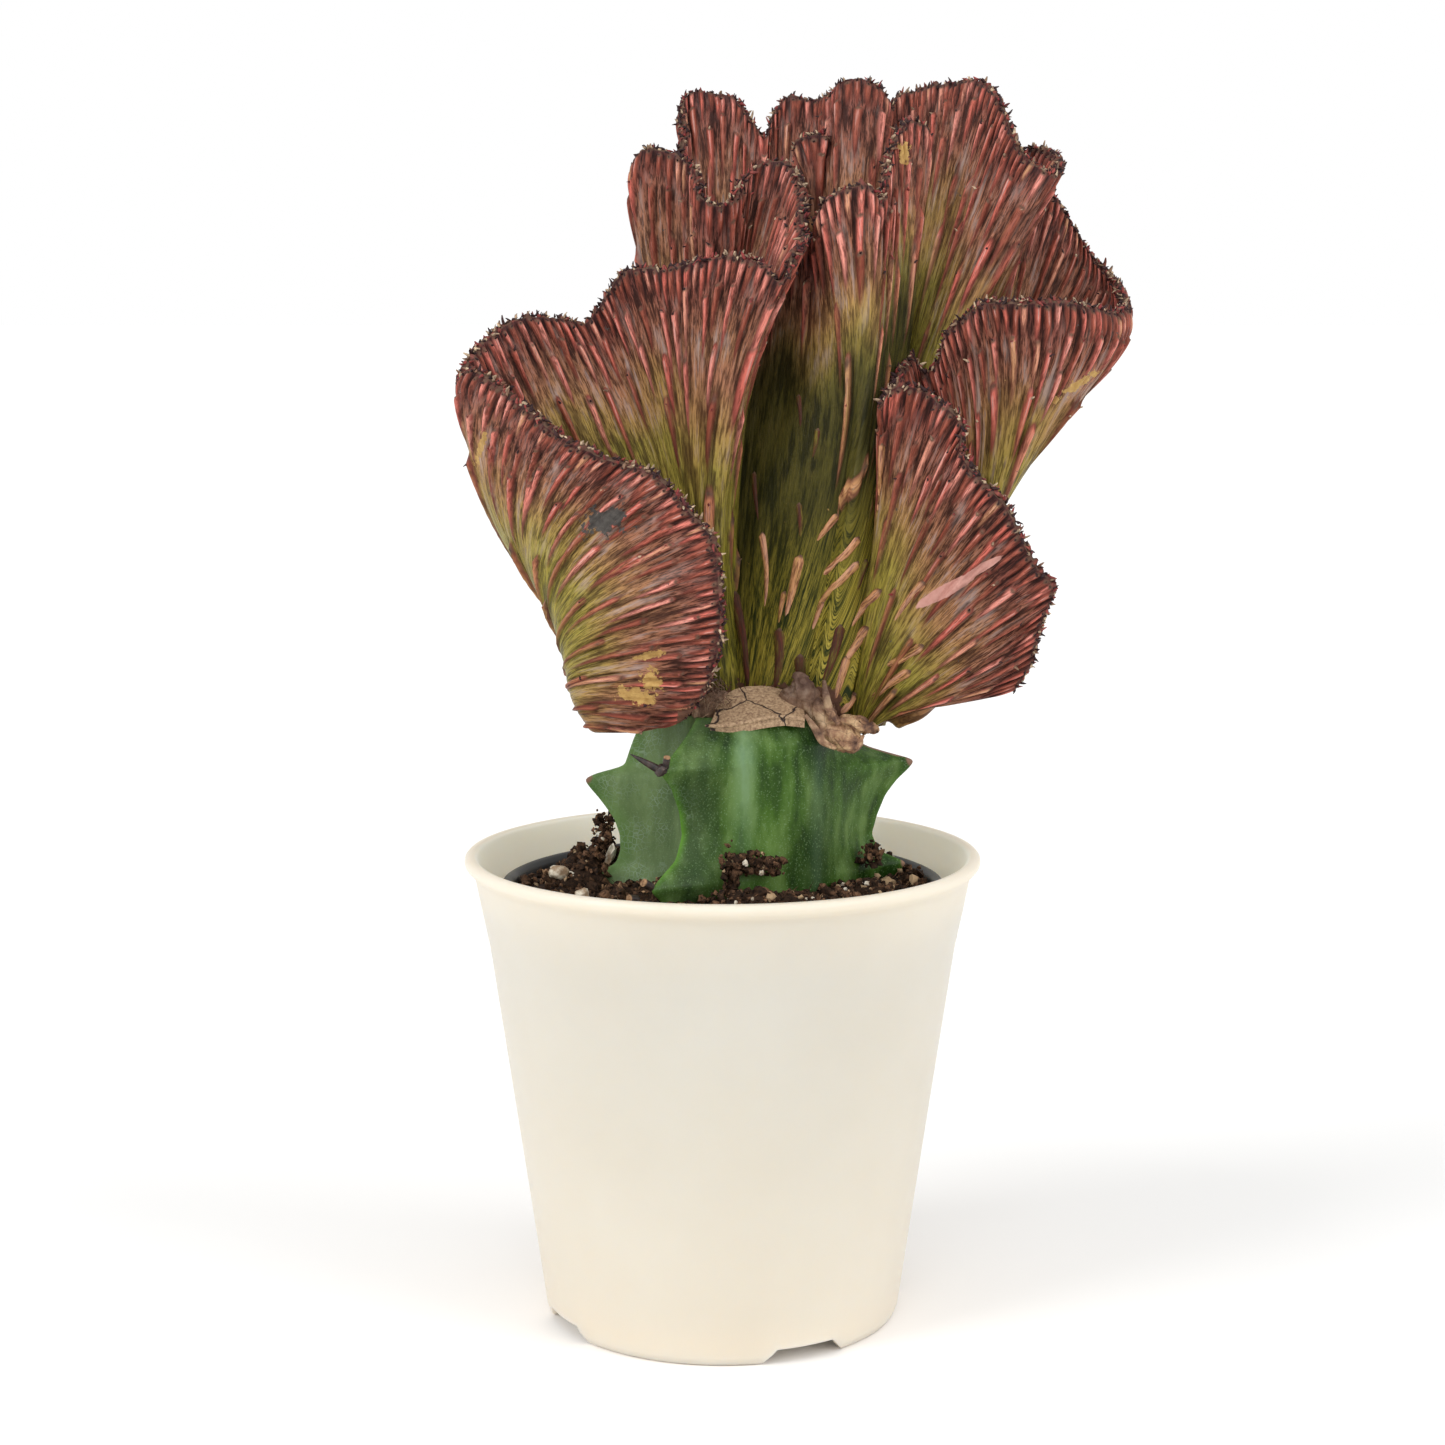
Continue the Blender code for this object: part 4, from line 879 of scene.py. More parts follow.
def tube_faces(rings, sides, base=0):
    """Faces of a closed tube of rings, numbered from the base."""
    faces = []
    for a in range(base, base + (rings - 1) * sides, sides):
        for m in range(sides):
            b = a + (m + 1) % sides
            faces.append((a + m, b, b + sides, a + m + sides))
    end = base + rings * sides
    return faces + [tuple(range(base, base + sides))[::-1], tuple(range(end - sides, end))]


def front_of(x, z):
    """Where a line from the front first meets the crest, in millimetres."""
    start = Vector(metres((x, FAR_FRONT, z)))
    hits = [found.ray_cast(start, Vector((0, 1, 0)))[3] for found in skin_trees]
    return min([FAR_FRONT + hit / MM for hit in hits if hit is not None] or [NO_HIT])


points, faces, masks, where = [], [], [], []
around = np.arange(ROD_SIDES) * 2 * math.pi / ROD_SIDES
for number, (x0, z0, x1, z1, half, tone) in enumerate(CENTRE_FINGERS):
    t = np.linspace(0, 1, ROD_STEPS)
    dx, dz = x1 - x0, z1 - z0
    long = math.hypot(dx, dz)
    bow = 0.05 * chance.uniform(-1, 1) * np.sin(math.pi * t)
    line = np.stack([x0 + dx * t + bow * dz, 0 * t, z0 + dz * t - bow * dx], axis=1)
    line[:, 1] = softened(np.array([front_of(x, z) for x, _, z in line]), 1.5)
    wide = 1.3 * half * (1 - 0.55 * t) * np.sqrt(np.clip(t * long / half, 0.03, 1))
    line[:, 1] += 0.45 * wide + 0.9 * half * t ** 3
    ahead = unit(np.gradient(line, axis=0))
    aside = unit(np.cross(ahead, (0, 1, 0)))
    out = np.cross(ahead, aside)
    for k in range(len(t)):
        for angle in around:
            points.append(line[k] + wide[k] * (math.cos(angle) * aside[k] + 0.9 * math.sin(angle) * out[k]))
            # Each rod's outer face gets the full finger mask, and with it the painted highlight; its inner
            # face gets painted shade
            crown, tip = max(0.0, math.sin(angle)), math.exp(-(t[k] * long / 0.7) ** 2)
            masks.append((min(1.0, 0.3 + 0.8 * crown), tip, tone, 0))
            where.append((wide[k] * math.cos(angle) + 9 * number, t[k] * long, 120))
    faces += tube_faces(ROD_STEPS, ROD_SIDES, number * ROD_STEPS * ROD_SIDES)
laid = mesh_piece("laid_fingers", points, faces)
bpy.ops.object.mode_set(mode="EDIT")
leave_edit()
laid["skin_faces"] = len(faces)
store(laid, "skin", masks)
store(laid, "zone", [(0.6, 0, 0, 0)] * len(points))
store(laid, "rib_place", where)
for label, value in (("ratio", 1.0), ("grey", 0.0), ("cleft_shade", 0.0)):
    store(laid, label, [value] * len(points))
crest_skins.append(laid)

# %% [markdown]
# ## Red and olive skin
# The skin runs from dark wine at the edge through red brown to olive at the graft, in fine streaks
# along the ribs. Fingers are coral red above and salmon below, with dark tips. Streaks are noise
# stretched along the ribs; two widths are blended, since the ribs draw together below. The masks stored
# on the points steer all the rest. Light and shade are painted as well: shade in the crevices between
# the fingers near the edge, in the grooves beside them, on their flanks and in the front sheet's cleft,
# a painted sheen in patches, and a painted highlight along the fingers' crowns.

# %% Crest skin
skin, tree, place = new_finish("crest_skin")
finger, tip, hue, groove = four_masks(tree, "skin")
depth, gold, pink, cork = four_masks(tree, "zone")
grey, ratio, cleft_shade = (stored(tree, label) for label in ("grey", "ratio", "cleft_shade"))
ribs = stored(tree, "rib_place", "Vector")


def streaks(scale, length, detail=4.0, shift=0.0):
    """Noise along the ribs; scale is per millimetre across them."""
    moved = node(tree, "Mapping", {
        "Vector": ribs, "Location": (shift, shift, shift), "Scale": (1.0, 1.0 / length, 1.0)})
    return noise(tree, moved.outputs["Vector"], scale, detail, 0.6)


spread = ramp(tree, ratio, [(0.3, 0.0), (0.65, 1.0)])
streak = mixed(tree, spread, streaks(0.22, 3.0), streaks(0.70, 9.0))
other = mixed(tree, spread, streaks(0.15, 2.6, 4.0, 31.0), streaks(0.42, 6.0, 4.0, 31.0))
fine = mixed(tree, spread, streaks(0.9, 4.0, 3.0, 77.0), streaks(3.2, 9.0, 3.0, 77.0))
cloud = noise(tree, place, 60.0, 3.0)
shifted = plus(tree, depth, times(tree, minus(tree, cloud, 0.5), 0.22))
ground_colour = ramp(tree, shifted, [
    (0.0, (0.165, 0.040, 0.030)), (0.05, (0.390, 0.130, 0.088)), (0.14, (0.490, 0.220, 0.118)),
    (0.24, (0.450, 0.275, 0.088)), (0.34, (0.355, 0.290, 0.056)), (0.50, (0.255, 0.222, 0.028)),
    (0.9, (0.300, 0.235, 0.034))])
dark = ramp(tree, shifted, [
    (0.0, (0.024, 0.007, 0.005)), (0.2, (0.042, 0.015, 0.007)), (0.4, (0.040, 0.030, 0.009)),
    (0.7, (0.016, 0.026, 0.006))])
light = ramp(tree, shifted, [
    (0.0, (0.42, 0.120, 0.095)), (0.12, (0.54, 0.26, 0.170)), (0.30, (0.46, 0.32, 0.08)),
    (0.6, (0.46, 0.37, 0.065))])
near = ramp(tree, depth, [(0.0, 1.0), (0.10, 0.85), (0.22, 0.70), (0.55, 0.70), (0.75, 0.95)])
# Painted sheen: pale patches laid on the skin in place of the wax's shine
painted_wax_sheen = times(tree, ramp(tree, other, [(0.53, 0.0), (0.68, 0.85)]),
             ramp(tree, shifted, [(0.02, 0.35), (0.15, 1.0), (0.45, 0.0)]))
# Painted shade in the crevices between the fingers near the edge
crevice_shade = times(tree, ramp(tree, finger, [(0.0, 0.42), (0.22, 0.0)]),
                ramp(tree, depth, [(0.0, 1.0), (0.10, 0.75), (0.22, 0.25), (0.4, 0.0)]))
# Painted shade in the front sheet's cleft: dark green where the sheet lies deep behind the lobes
cleft_shade_colour = mixed(tree, ramp(tree, other, [(0.42, 0.0), (0.62, 1.0)]),
                 (0.012, 0.013, 0.004), (0.050, 0.044, 0.011))
# Painted shade in the grooves beside the fingers
shade = times(tree, groove, ramp(tree, depth, [(0.03, 0.95), (0.16, 0.75), (0.4, 0.75)]))
ground_colour = layered(
    tree, ground_colour,
    (times(tree, ramp(tree, streak, [(0.50, 0.0), (0.62, 0.95)]), near), light),
    (times(tree, ramp(tree, other, [(0.40, 1.0), (0.51, 0.0)]), near), dark),
    (times(tree, ramp(tree, fine, [(0.42, 0.95), (0.53, 0.0)]), near), dark),
    (painted_wax_sheen, (0.50, 0.375, 0.335)), (crevice_shade, (0.034, 0.011, 0.010)),
    (times(tree, cleft_shade, 0.88), cleft_shade_colour), (shade, (0.016, 0.007, 0.006)))

reds = ramp(tree, hue, [
    (0.0, (0.24, 0.060, 0.036)), (0.4, (0.44, 0.120, 0.078)), (0.66, (0.64, 0.150, 0.112)),
    (0.85, (0.86, 0.330, 0.260)), (1.0, (0.58, 0.290, 0.150))])
salmon = ramp(tree, hue, [
    (0.05, (0.070, 0.030, 0.020)), (0.12, (0.34, 0.15, 0.06)), (0.5, (0.60, 0.29, 0.135)),
    (0.9, (0.44, 0.26, 0.10))])
# Painted highlight along the crowns of the fingers
crown = times(tree, ramp(tree, finger, [(0.78, 0.0), (0.96, 0.65)]),
              ramp(tree, streak, [(0.46, 0.0), (0.60, 1.0)]),
              ramp(tree, hue, [(0.10, 0.0), (0.3, 1.0)]), ramp(tree, depth, [(0.3, 1.0), (0.5, 0.4)]))
finger_colour = layered(
    tree, reds, (ramp(tree, shifted, [(0.22, 0.0), (0.45, 1.0)]), salmon),
    (ramp(tree, fine, [(0.38, 0.8), (0.53, 0.0)]), (0.13, 0.036, 0.022)),
    # Painted shade on the fingers' flanks
    (ramp(tree, finger, [(0.15, 0.85), (0.42, 0.55), (0.72, 0.0)]), (0.085, 0.022, 0.017)),
    (crown, (0.72, 0.43, 0.38)))
cover = times(tree, ramp(tree, finger, [(0.05, 0.0), (0.3, 1.0)]),
              ramp(tree, plus(tree, streak, times(tree, hue, 0.15)), [(0.36, 0.35), (0.54, 1.0)]))
dry = mixed(tree, noise(tree, place, 900.0, 3.0), (0.030, 0.016, 0.014), (0.20, 0.12, 0.08))


def scar(mask, rough, uneven, first, second):
    """The layer of a scar with a ragged outline, in two tones."""
    swing = minus(tree, noise(tree, place, rough, 6.0, 0.7), 0.5)
    ragged = plus(tree, mask, times(tree, swing, uneven))
    tone = mixed(tree, noise(tree, place, 800.0, 4.0), first, second)
    return ramp(tree, ragged, [(0.48, 0.0), (0.54, 1.0)]), tone


colour = layered(
    tree, ground_colour, (cover, finger_colour),
    (ramp(tree, depth, [(0.0, 0.5), (0.008, 0.2), (0.02, 0.0)]), (0.042, 0.018, 0.020)),
    (ramp(tree, tip, [(0.35, 0.0), (0.8, 0.9)]), dry),
    scar(gold, 520.0, 2.4, (0.26, 0.12, 0.03), (0.70, 0.47, 0.17)),
    scar(pink, 150.0, 0.6, (0.50, 0.22, 0.18), (0.68, 0.38, 0.32)),
    scar(grey, 330.0, 2.6, (0.028, 0.024, 0.023), (0.13, 0.118, 0.105)),
    scar(cork, 240.0, 1.4, (0.060, 0.026, 0.020), (0.20, 0.100, 0.062)))
gloss = plus(tree, ramp(tree, fine, [(0.3, 0.42), (0.7, 0.28)]), times(tree, tip, 0.3))
shaded(tree, Base_Color=colour, Roughness=gloss, Specular_IOR_Level=0.10)
grain = plus(tree, fine, times(tree, noise(tree, place, 1500.0, 3.0), 0.35), times(tree, streak, 0.8))
bumped(tree, grain, 0.00035, 0.7)

for piece in crest_skins:
    finish_piece(piece, skin, ["crest"])
    smooth = [k < piece["skin_faces"] for k in range(len(piece.data.polygons))]
    piece.data.polygons.foreach_set("use_smooth", smooth)

# %% [markdown]
# ## Dried tips along the edge
# The growing edge carries a crust of tiny dried leaves, dark purple brown with a few tan or red ones,
# and each finger ends in a short dark stub. A bent cone is modelled once and copied along the edge and
# to the tips of the fingers, with a tone for each.

# %% Tips
# Dried tips for each millimetre of the edge
CRUST = 2.7
stub_shapes = [
    bent_cone(5, 0.6, 0.3), bent_cone(5, 2.2, 0.6), shaken_ball(1, 0.45, 1), bent_cone(5, -1.8, 0.5)]
spots = []
for name, net in nets.items():
    span = len(net.depth)
    (front, back) = (face.reach[:, 0] for face in net.faces)
    for _ in range(int(CRUST * span * COLUMN)):
        i = chance.randrange(span)
        lean = math.radians(90 + max(-75, min(75, chance.gauss(0, 42))))
        side = front[i] if lean < math.pi / 2 else back[i]
        out = math.cos(lean) * net.normal[i, 0] + math.sin(lean) * net.up[i, 0]
        root = (net.points[i, 0] + 0.85 * math.cos(lean) * side * net.normal[i, 0]
                + 0.8 * math.sin(lean) * min(front[i], back[i]) * net.up[i, 0])
        aim = Vector(out) + Vector([chance.gauss(0, 0.5) for _ in range(3)])
        long = chance.uniform(0.6, 1.3) if chance.random() < 0.85 else chance.uniform(1.3, 2.0)
        wide = chance.uniform(0.30, 0.58)
        spots.append((root, aimed(aim, chance.uniform(0, 6.28)), (wide, wide, long), chance.random()))
edge_count = len(spots)
for name, net in nets.items():
    for face, sign in zip(net.faces, (1, -1)):
        for i, j, top in face.tips:
            if top > 5 and chance.random() < 0.5:
                continue
            j = min(j, net.depth.shape[1] - 2)
            root = net.points[i, j] + sign * (face.reach[i, j] - 0.35) * net.normal[i, j]
            aim = Vector(0.75 * sign * net.normal[i, j] + net.up[i, j])
            aim += Vector([chance.gauss(0, 0.2) for _ in range(3)])
            wide = chance.uniform(0.28, 0.46)
            spots.append((root, aimed(aim, chance.uniform(0, 6.28)), (wide, wide, chance.uniform(0.5, 1.1)),
                          0.4 * chance.random() if top < 5 else chance.random()))
dried_tips = scattered("dried_tips", stub_shapes, spots)
print("tips on the edge:", edge_count, "on fingers:", len(spots) - edge_count)

tips_finish, tree, place = new_finish("dried_tip")
colour = ramp(tree, stored(tree, "tone"), [
    (0.0, (0.016, 0.007, 0.009)), (0.44, (0.050, 0.018, 0.019)), (0.50, (0.26, 0.036, 0.036)),
    (0.68, (0.34, 0.075, 0.060)), (0.72, (0.24, 0.13, 0.08)), (1.0, (0.72, 0.54, 0.36))])
flecks = noise(tree, place, 900.0, 3.0)
colour = mixed(tree, ramp(tree, flecks, [(0.4, 0.6), (0.6, 0.0)]), colour, (0.030, 0.014, 0.013))
shaded(tree, Base_Color=colour, Specular_IOR_Level=0.25, Roughness=0.62)
bumped(tree, noise(tree, place, 1600.0, 2.0), 0.0001, 0.5)
finish_piece(dried_tips, tips_finish)

# %% [markdown]
# ## The winged green stem
# The stem is a short length of a winged succulent. In plan it is a star of five thin wings with hollow
# flanks, and each wing swells into blunt teeth. The wide face towards the viewer is almost flat. A
# loft by formula follows such a plan best: for each height the radius falls from the wing's edge to the
# hollow and rises again to the next wing.

# %% Plan and wings of the stem
STEM_X, STEM_FOOT, STEM_TOP = 6.0, 50.0, 154.0
# Turn of each wing in degrees, then the height and radius of points on its outline
RIDGES = [
    (5, [(50, 11), (90, 14), (105, 27), (112, 38), (115.5, 41), (118.5, 34), (123, 32), (128, 33.2),
         (133, 35.4), (137, 38.4), (140, 41.6), (142, 43.0), (143.7, 36.4), (145.6, 30), (149, 26),
         (154, 22)]),
    (75, [(50, 11), (90, 14), (105, 29), (109.4, 40), (112, 35), (118.5, 30), (128, 31), (136, 36),
          (138.6, 39), (140.4, 36), (143.7, 29), (149, 23), (154, 20)]),
    (130, [(50, 11), (90, 14), (105, 30), (112, 36), (115, 40), (118.5, 33), (123, 30.5), (132.5, 32),
           (140.4, 36), (143.7, 39), (145.5, 34), (147.3, 27), (149, 23), (154, 20)]),
    (185, [(50, 11), (90, 14), (105, 33), (109, 41), (111.5, 45), (114, 38), (116.5, 33), (120, 31.8),
           (124, 32), (128, 33.4), (133, 37), (136, 39.4), (138.2, 40.8), (139.8, 37.4), (141.2, 31.0),
           (145.5, 29.4), (149, 28), (154, 25)]),
    (238, [(50, 11), (90, 14), (105, 31), (112, 38), (116.5, 44), (119, 40), (122, 33), (128, 30),
           (134, 31.2), (140.4, 34.8), (143.7, 38.5), (145.5, 40.5), (147, 36), (149.5, 30.5), (152, 26),
           (154, 23)]),
]
# Radius in the middle of the hollow after each wing, and how steeply it rises to the wings
HOLLOWS = [(19, 2.6), (18, 2.4), (18, 2.4), (18.5, 2.4), (24.5, 3.4)]
# Wing, height and radius of each tooth's brown end
TEETH = [(0, 142, 42), (0, 115.5, 41), (1, 138.6, 39), (2, 143.7, 39), (2, 115, 40),
         (3, 138.6, 40.5), (4, 145.5, 40.5), (4, 115.5, 45)]

fine_heights = np.arange(STEM_FOOT, STEM_TOP + 0.01, 0.25)
wing_radii = [softened(np.interp(fine_heights, *zip(*table)), 2.2) for _, table in RIDGES]


def stem_radius(gap, share, height):
    """Radius between two wings; share runs from 0 at one wing to 1 at the next."""
    height = np.clip(height, STEM_FOOT, STEM_TOP)
    start = np.interp(height, fine_heights, wing_radii[gap])
    end = np.interp(height, fine_heights, wing_radii[(gap + 1) % 5])
    hollow, power = HOLLOWS[gap]
    tip = np.where(share < 0.5, start, end)
    low = np.minimum(hollow, 0.94 * np.minimum(start, end))
    rise = 0.9 * np.abs(2 * share - 1) ** power
    rise = rise + 0.1 * np.exp(-((0.5 - np.abs(share - 0.5)) / 0.018) ** 2)
    return low + (tip - low) * rise


def gap_and_share(x, y):
    """Which two wings a point lies between, and how far along."""
    angle = math.degrees(math.atan2(y, x - STEM_X)) % 360
    for gap in range(5):
        start = RIDGES[gap][0]
        width = (RIDGES[(gap + 1) % 5][0] - start) % 360
        if (angle - start) % 360 < width:
            return gap, ((angle - start) % 360) / width
    return 0, 0.0


def in_stem(x, y, z, margin=0.0):
    """Whether a point lies in the stem, or no further from it than the margin."""
    gap, share = gap_and_share(x, y)
    return math.hypot(x - STEM_X, y) < stem_radius(gap, share, z) + margin


def wing_place(ridge, height, radius):
    """A place at the given height and radius on a wing, and the wing's turn."""
    turn = math.radians(RIDGES[ridge][0])
    return np.array([STEM_X + radius * math.cos(turn), radius * math.sin(turn), height]), turn


print("stem across in mm:", round(2 * float(max(radii.max() for radii in wing_radii)), 1))

# %% Loft the stem
AROUND_GAP = 56
# Radius of the brown patch on a tooth, and where the dried upper edge of the right wing starts
TOOTH_BROWN, DRY_LEVEL, DRY_RADIUS = 1.9, 142.6, 24
# Two upright swellings on the wide front face: share of the way across it, height and half width
BULGES = [(0.24, 0.7, 0.05), (0.6, 0.6, 0.06)]
shares = (1 - np.cos(np.pi * np.arange(AROUND_GAP) / AROUND_GAP)) / 2
levels = np.concatenate([[50, 70, 88, 96, 101], np.arange(104.0, STEM_TOP + 0.01, 0.5)])


def stem_masks(place, gap, share, edge, radius):
    """How far a point of the stem is bright edge, dull flank, brown tooth and pale bloom with painted
    highlight.
    """
    level = place[2]
    brown = max(math.exp(-(math.dist(place, wing_place(*tooth)[0]) / TOOTH_BROWN) ** 2) for tooth in TEETH)
    if (gap == 0 or (gap == 4 and share > 0.7)) and level > DRY_LEVEL and radius > DRY_RADIUS:
        brown = max(brown, 0.9 * math.exp(-(edge / 1.0) ** 2))
    flank = {3: 1.0, 2: 0.8}.get(gap, 0.35 * math.exp(-(share / 0.12) ** 2) if gap == 4 else 0.3)
    front_rib = (gap == 4 and share < 0.5) or (gap == 3 and share > 0.5)
    line = 0.25 + 0.75 * math.exp(-((level - 128) / 10) ** 2) if front_rib else 0.3
    # Pale bands on the wide front face: waxy bloom and painted highlight together
    bloom_and_highlight = 0.0
    if gap == 4:
        bloom_and_highlight = math.exp(-((share - 0.24) / 0.04) ** 2) * min(1, max(0.15, (level - 118) / 20))
        bloom_and_highlight += 0.3 * math.exp(-((share - 0.6) / 0.03) ** 2)
    return line * math.exp(-(edge / 0.9) ** 2), flank, brown, bloom_and_highlight


points, skin = [], []
for level in levels:
    for gap in range(5):
        width = (RIDGES[(gap + 1) % 5][0] - RIDGES[gap][0]) % 360
        radii = stem_radius(gap, shares, level)
        for middle, tall, wide in BULGES if gap == 4 else ():
            radii = radii + tall * np.exp(-((shares - middle) / wide) ** 2)
        for share, radius in zip(shares, radii):
            angle = math.radians(RIDGES[gap][0] + share * width)
            x, y = STEM_X + radius * math.cos(angle), radius * math.sin(angle)
            swell = 0.35 * lumpy((x / 8, y / 8, level / 11)) if level > 100 else 0.0
            x, y = x + swell * math.cos(angle), y + swell * math.sin(angle)
            raised = 2.0 * np.clip(-y / 20, 0, 1) * np.clip((26 - x) / 6, 0, 1) * max(0, level - 146) / 8
            points.append((x, y, level + raised))
            edge = min(share, 1 - share) * math.radians(width) * radius
            skin.append(stem_masks((x, y, level), gap, share, edge, radius))
# The tube's flat ends are left off; each end is closed by a fan round a point instead
around = 5 * AROUND_GAP
faces = tube_faces(len(levels), around)[:-2]
top = (len(levels) - 1) * around
points += [(STEM_X, 0, STEM_FOOT), (STEM_X, 0, STEM_TOP + 0.3)]
skin += [(0, 0, 0, 0)] * 2
for k in range(around):
    after = (k + 1) % around
    faces += [(after, k, len(points) - 2), (top + k, top + after, len(points) - 1)]
stem = mesh_piece("winged_stem", points, faces)
store(stem, "skin", skin)
print("stem points:", len(points))

# %% [markdown]
# ## Waxy green skin
# The skin is a deep green with a thin waxy bloom; pale upright bands on the wide front face are that
# bloom and painted highlight together. Along the wings' edges it is a brighter yellow green, the tips are
# cut and brown, and the flanks on the left show a web of fine pale cracks. The masks for these places
# were stored on the points while the stem was lofted.

# %% Green skin
green, tree, place = new_finish("green_skin")
wing_edge, flank, tooth_end, bloom_and_highlight = four_masks(tree, "skin")
upright = stretched(tree, place, (1.0, 1.0, 0.35))
mottle = noise(tree, upright, 150.0, 5.0)
broad = noise(tree, upright, 45.0, 3.0)
dull = mixed(tree, ramp(tree, mottle, [(0.3, 0.0), (0.7, 1.0)]), (0.075, 0.125, 0.050), (0.200, 0.280, 0.130))
web = times(tree, ramp(tree, crack_lines(tree, place, 800.0), [(0.0, 1.0), (0.09, 0.0)]),
            ramp(tree, noise(tree, place, 120.0, 3.0), [(0.48, 0.0), (0.62, 1.0)]), flank)
# Pale bloom and painted highlight in upright bands
painted_wax_sheen = times(tree, bloom_and_highlight, ramp(tree, noise(tree, upright, 260.0, 4.0), [(0.35, 0.35), (0.7, 1.0)]))
specks = ramp(tree, noise(tree, place, 2300.0, 2.0), [(0.58, 0.0), (0.68, 0.45)])
brown = mixed(tree, mottle, (0.10, 0.05, 0.03), (0.42, 0.25, 0.17))
colour = layered(
    tree, ramp(tree, mottle, [
        (0.38, (0.008, 0.026, 0.002)), (0.49, (0.042, 0.096, 0.011)), (0.64, (0.125, 0.212, 0.055))]),
    (ramp(tree, broad, [(0.40, 0.9), (0.53, 0.0)]), (0.010, 0.036, 0.004)),
    (ramp(tree, broad, [(0.48, 0.0), (0.75, 0.5)]), (0.085, 0.20, 0.024)),
    (times(tree, flank, 0.75), dull), (times(tree, web, 0.55), (0.30, 0.40, 0.30)),
    (times(tree, painted_wax_sheen, 0.5), (0.27, 0.42, 0.28)), (specks, (0.20, 0.32, 0.15)),
    (times(tree, wing_edge, 0.75), (0.115, 0.30, 0.025)),
    (ramp(tree, tooth_end, [(0.35, 0.0), (0.6, 1.0)]), brown))
shaded(tree, Base_Color=colour, Roughness=ramp(tree, mottle, [(0.3, 0.34), (0.7, 0.50)]),
       Specular_IOR_Level=0.16, Subsurface_Weight=0.05, Subsurface_Radius=(0.001, 0.002, 0.0008))
bumped(tree, plus(tree, noise(tree, place, 1100.0, 3.0), times(tree, web, 0.6)), 0.00012, 0.6)
finish_piece(stem, green, ["rootstock"])

# %% [markdown]
# ## Thorns and cut stubs
# The teeth at the back keep their pairs of short dark thorns. On the front left wing one thorn is a
# long black needle, and its partner was snipped off: a dark stub with a tan cut face. Two more such
# stubs stand on the low tooth. Cones and short rods are modelled once and set in their places.

# %% Thorns
spots = []
# A pair of thorns on each tooth at the back
for ridge, height, reach in TEETH[2:5]:
    root, turn = wing_place(ridge, height, reach - 1)
    for side in (-38, 38):
        aim = (math.cos(turn + math.radians(side)), math.sin(turn + math.radians(side)), 0.22)
        spots.append((root, aimed(aim), (0.7, 0.7, chance.uniform(3, 4.4)), chance.random()))
areole, _ = wing_place(4, 145.4, 39.6)
spots.append((areole, aimed((-0.82, -0.25, 0.50)), (1.05, 1.05, 8.6), 0.2))
thorns = scattered("stem_thorns", [bent_cone(12, 0.12, 0.0)], spots)
base_spots = [(areole + (0.3, -0.2, 0.0), any_turn(), (1.7, 1.3, 1.5), 0.1)]
stub_spots, cut_spots = [], []
for root, aim, wide, long in (
        (areole + (1.3, 0.0, 0.5), (0.15, -0.45, 1.0), 0.85, 3.0),
        (wing_place(4, 117.4, 43.5)[0] + (0, 0.6, 0), (-0.55, -0.55, 0.45), 1.05, 2.8),
        (wing_place(4, 114.0, 44.0)[0] + (-3.2, 2.4, 0), (-0.65, -0.6, 0.2), 1.05, 2.6)):
    stub_spots.append((root, aimed(aim), (wide, wide, long), 0.3))
    end = root + (long + 0.02) * np.array(Vector(aim).normalized())
    cut_spots.append((end, aimed(aim), (wide, wide, 0.16), 0.5))


def short_rod(sides):
    """A rod one unit long along Z whose top edge is rounded."""
    clear_selection()
    bpy.ops.mesh.primitive_cylinder_add(vertices=sides, radius=1, depth=1, location=(0, 0, 0.5))
    bpy.ops.object.transform_apply(location=True)
    bpy.ops.object.mode_set(mode="EDIT")
    bpy.ops.mesh.select_all(action="SELECT")
    bpy.ops.mesh.bevel(offset=0.12, segments=2)
    bpy.ops.transform.vertex_random(offset=0.05, uniform=1.0, seed=4)
    bpy.ops.object.mode_set(mode="OBJECT")
    return taken_shape()


rod = short_rod(14)
stubs = scattered("cut_stubs", [rod], stub_spots)
cuts_tan = scattered("cut_faces", [rod], cut_spots)
areole_piece = scattered("areole", [shaken_ball(3, 0.12, 5)], base_spots)
dark, tree, place = new_finish("dark_thorn")
flecks = noise(tree, place, 700.0, 3.0)
shaded(tree, Base_Color=ramp(tree, flecks, [(0.35, (0.010, 0.007, 0.008)), (0.75, (0.085, 0.055, 0.045))]),
       Roughness=0.5)
bumped(tree, flecks, 0.0001, 0.5)
for piece in (thorns, stubs, areole_piece):
    finish_piece(piece, dark, (), 50)

# %% [markdown]
# ## The soil
# The soil is a loose peat mix: a low mound with clumps that cling to the stem. The ground is a round
# piece with many rings, whose points are then lifted by a formula, as in sculpting. Loose crumbs and
# coarser clods are strewn on it, thickest in heaps on the clumps, with rootlets between them.

# %% Ground of the soil
SOIL_RADIUS = 52.4
# Heights of the ground, of the mound above it and of the margin, and where the margin starts
GROUND, MOUND, MARGIN, MARGIN_RADIUS = 110.2, 4.5, 109.4, 44.0
# x and y of the middle, height and half width of each clump
CLUMPS = [
    (-32, 2, 6, 5), (-37, -5, 5, 6), (6, -36, 4, 6), (17, -36, 4, 7), (38, -18, 3, 6), (42, 16, 4, 6),
    (30, 34, 4, 7), (-36, 20, 4, 6), (2, 44, 4, 6),
]
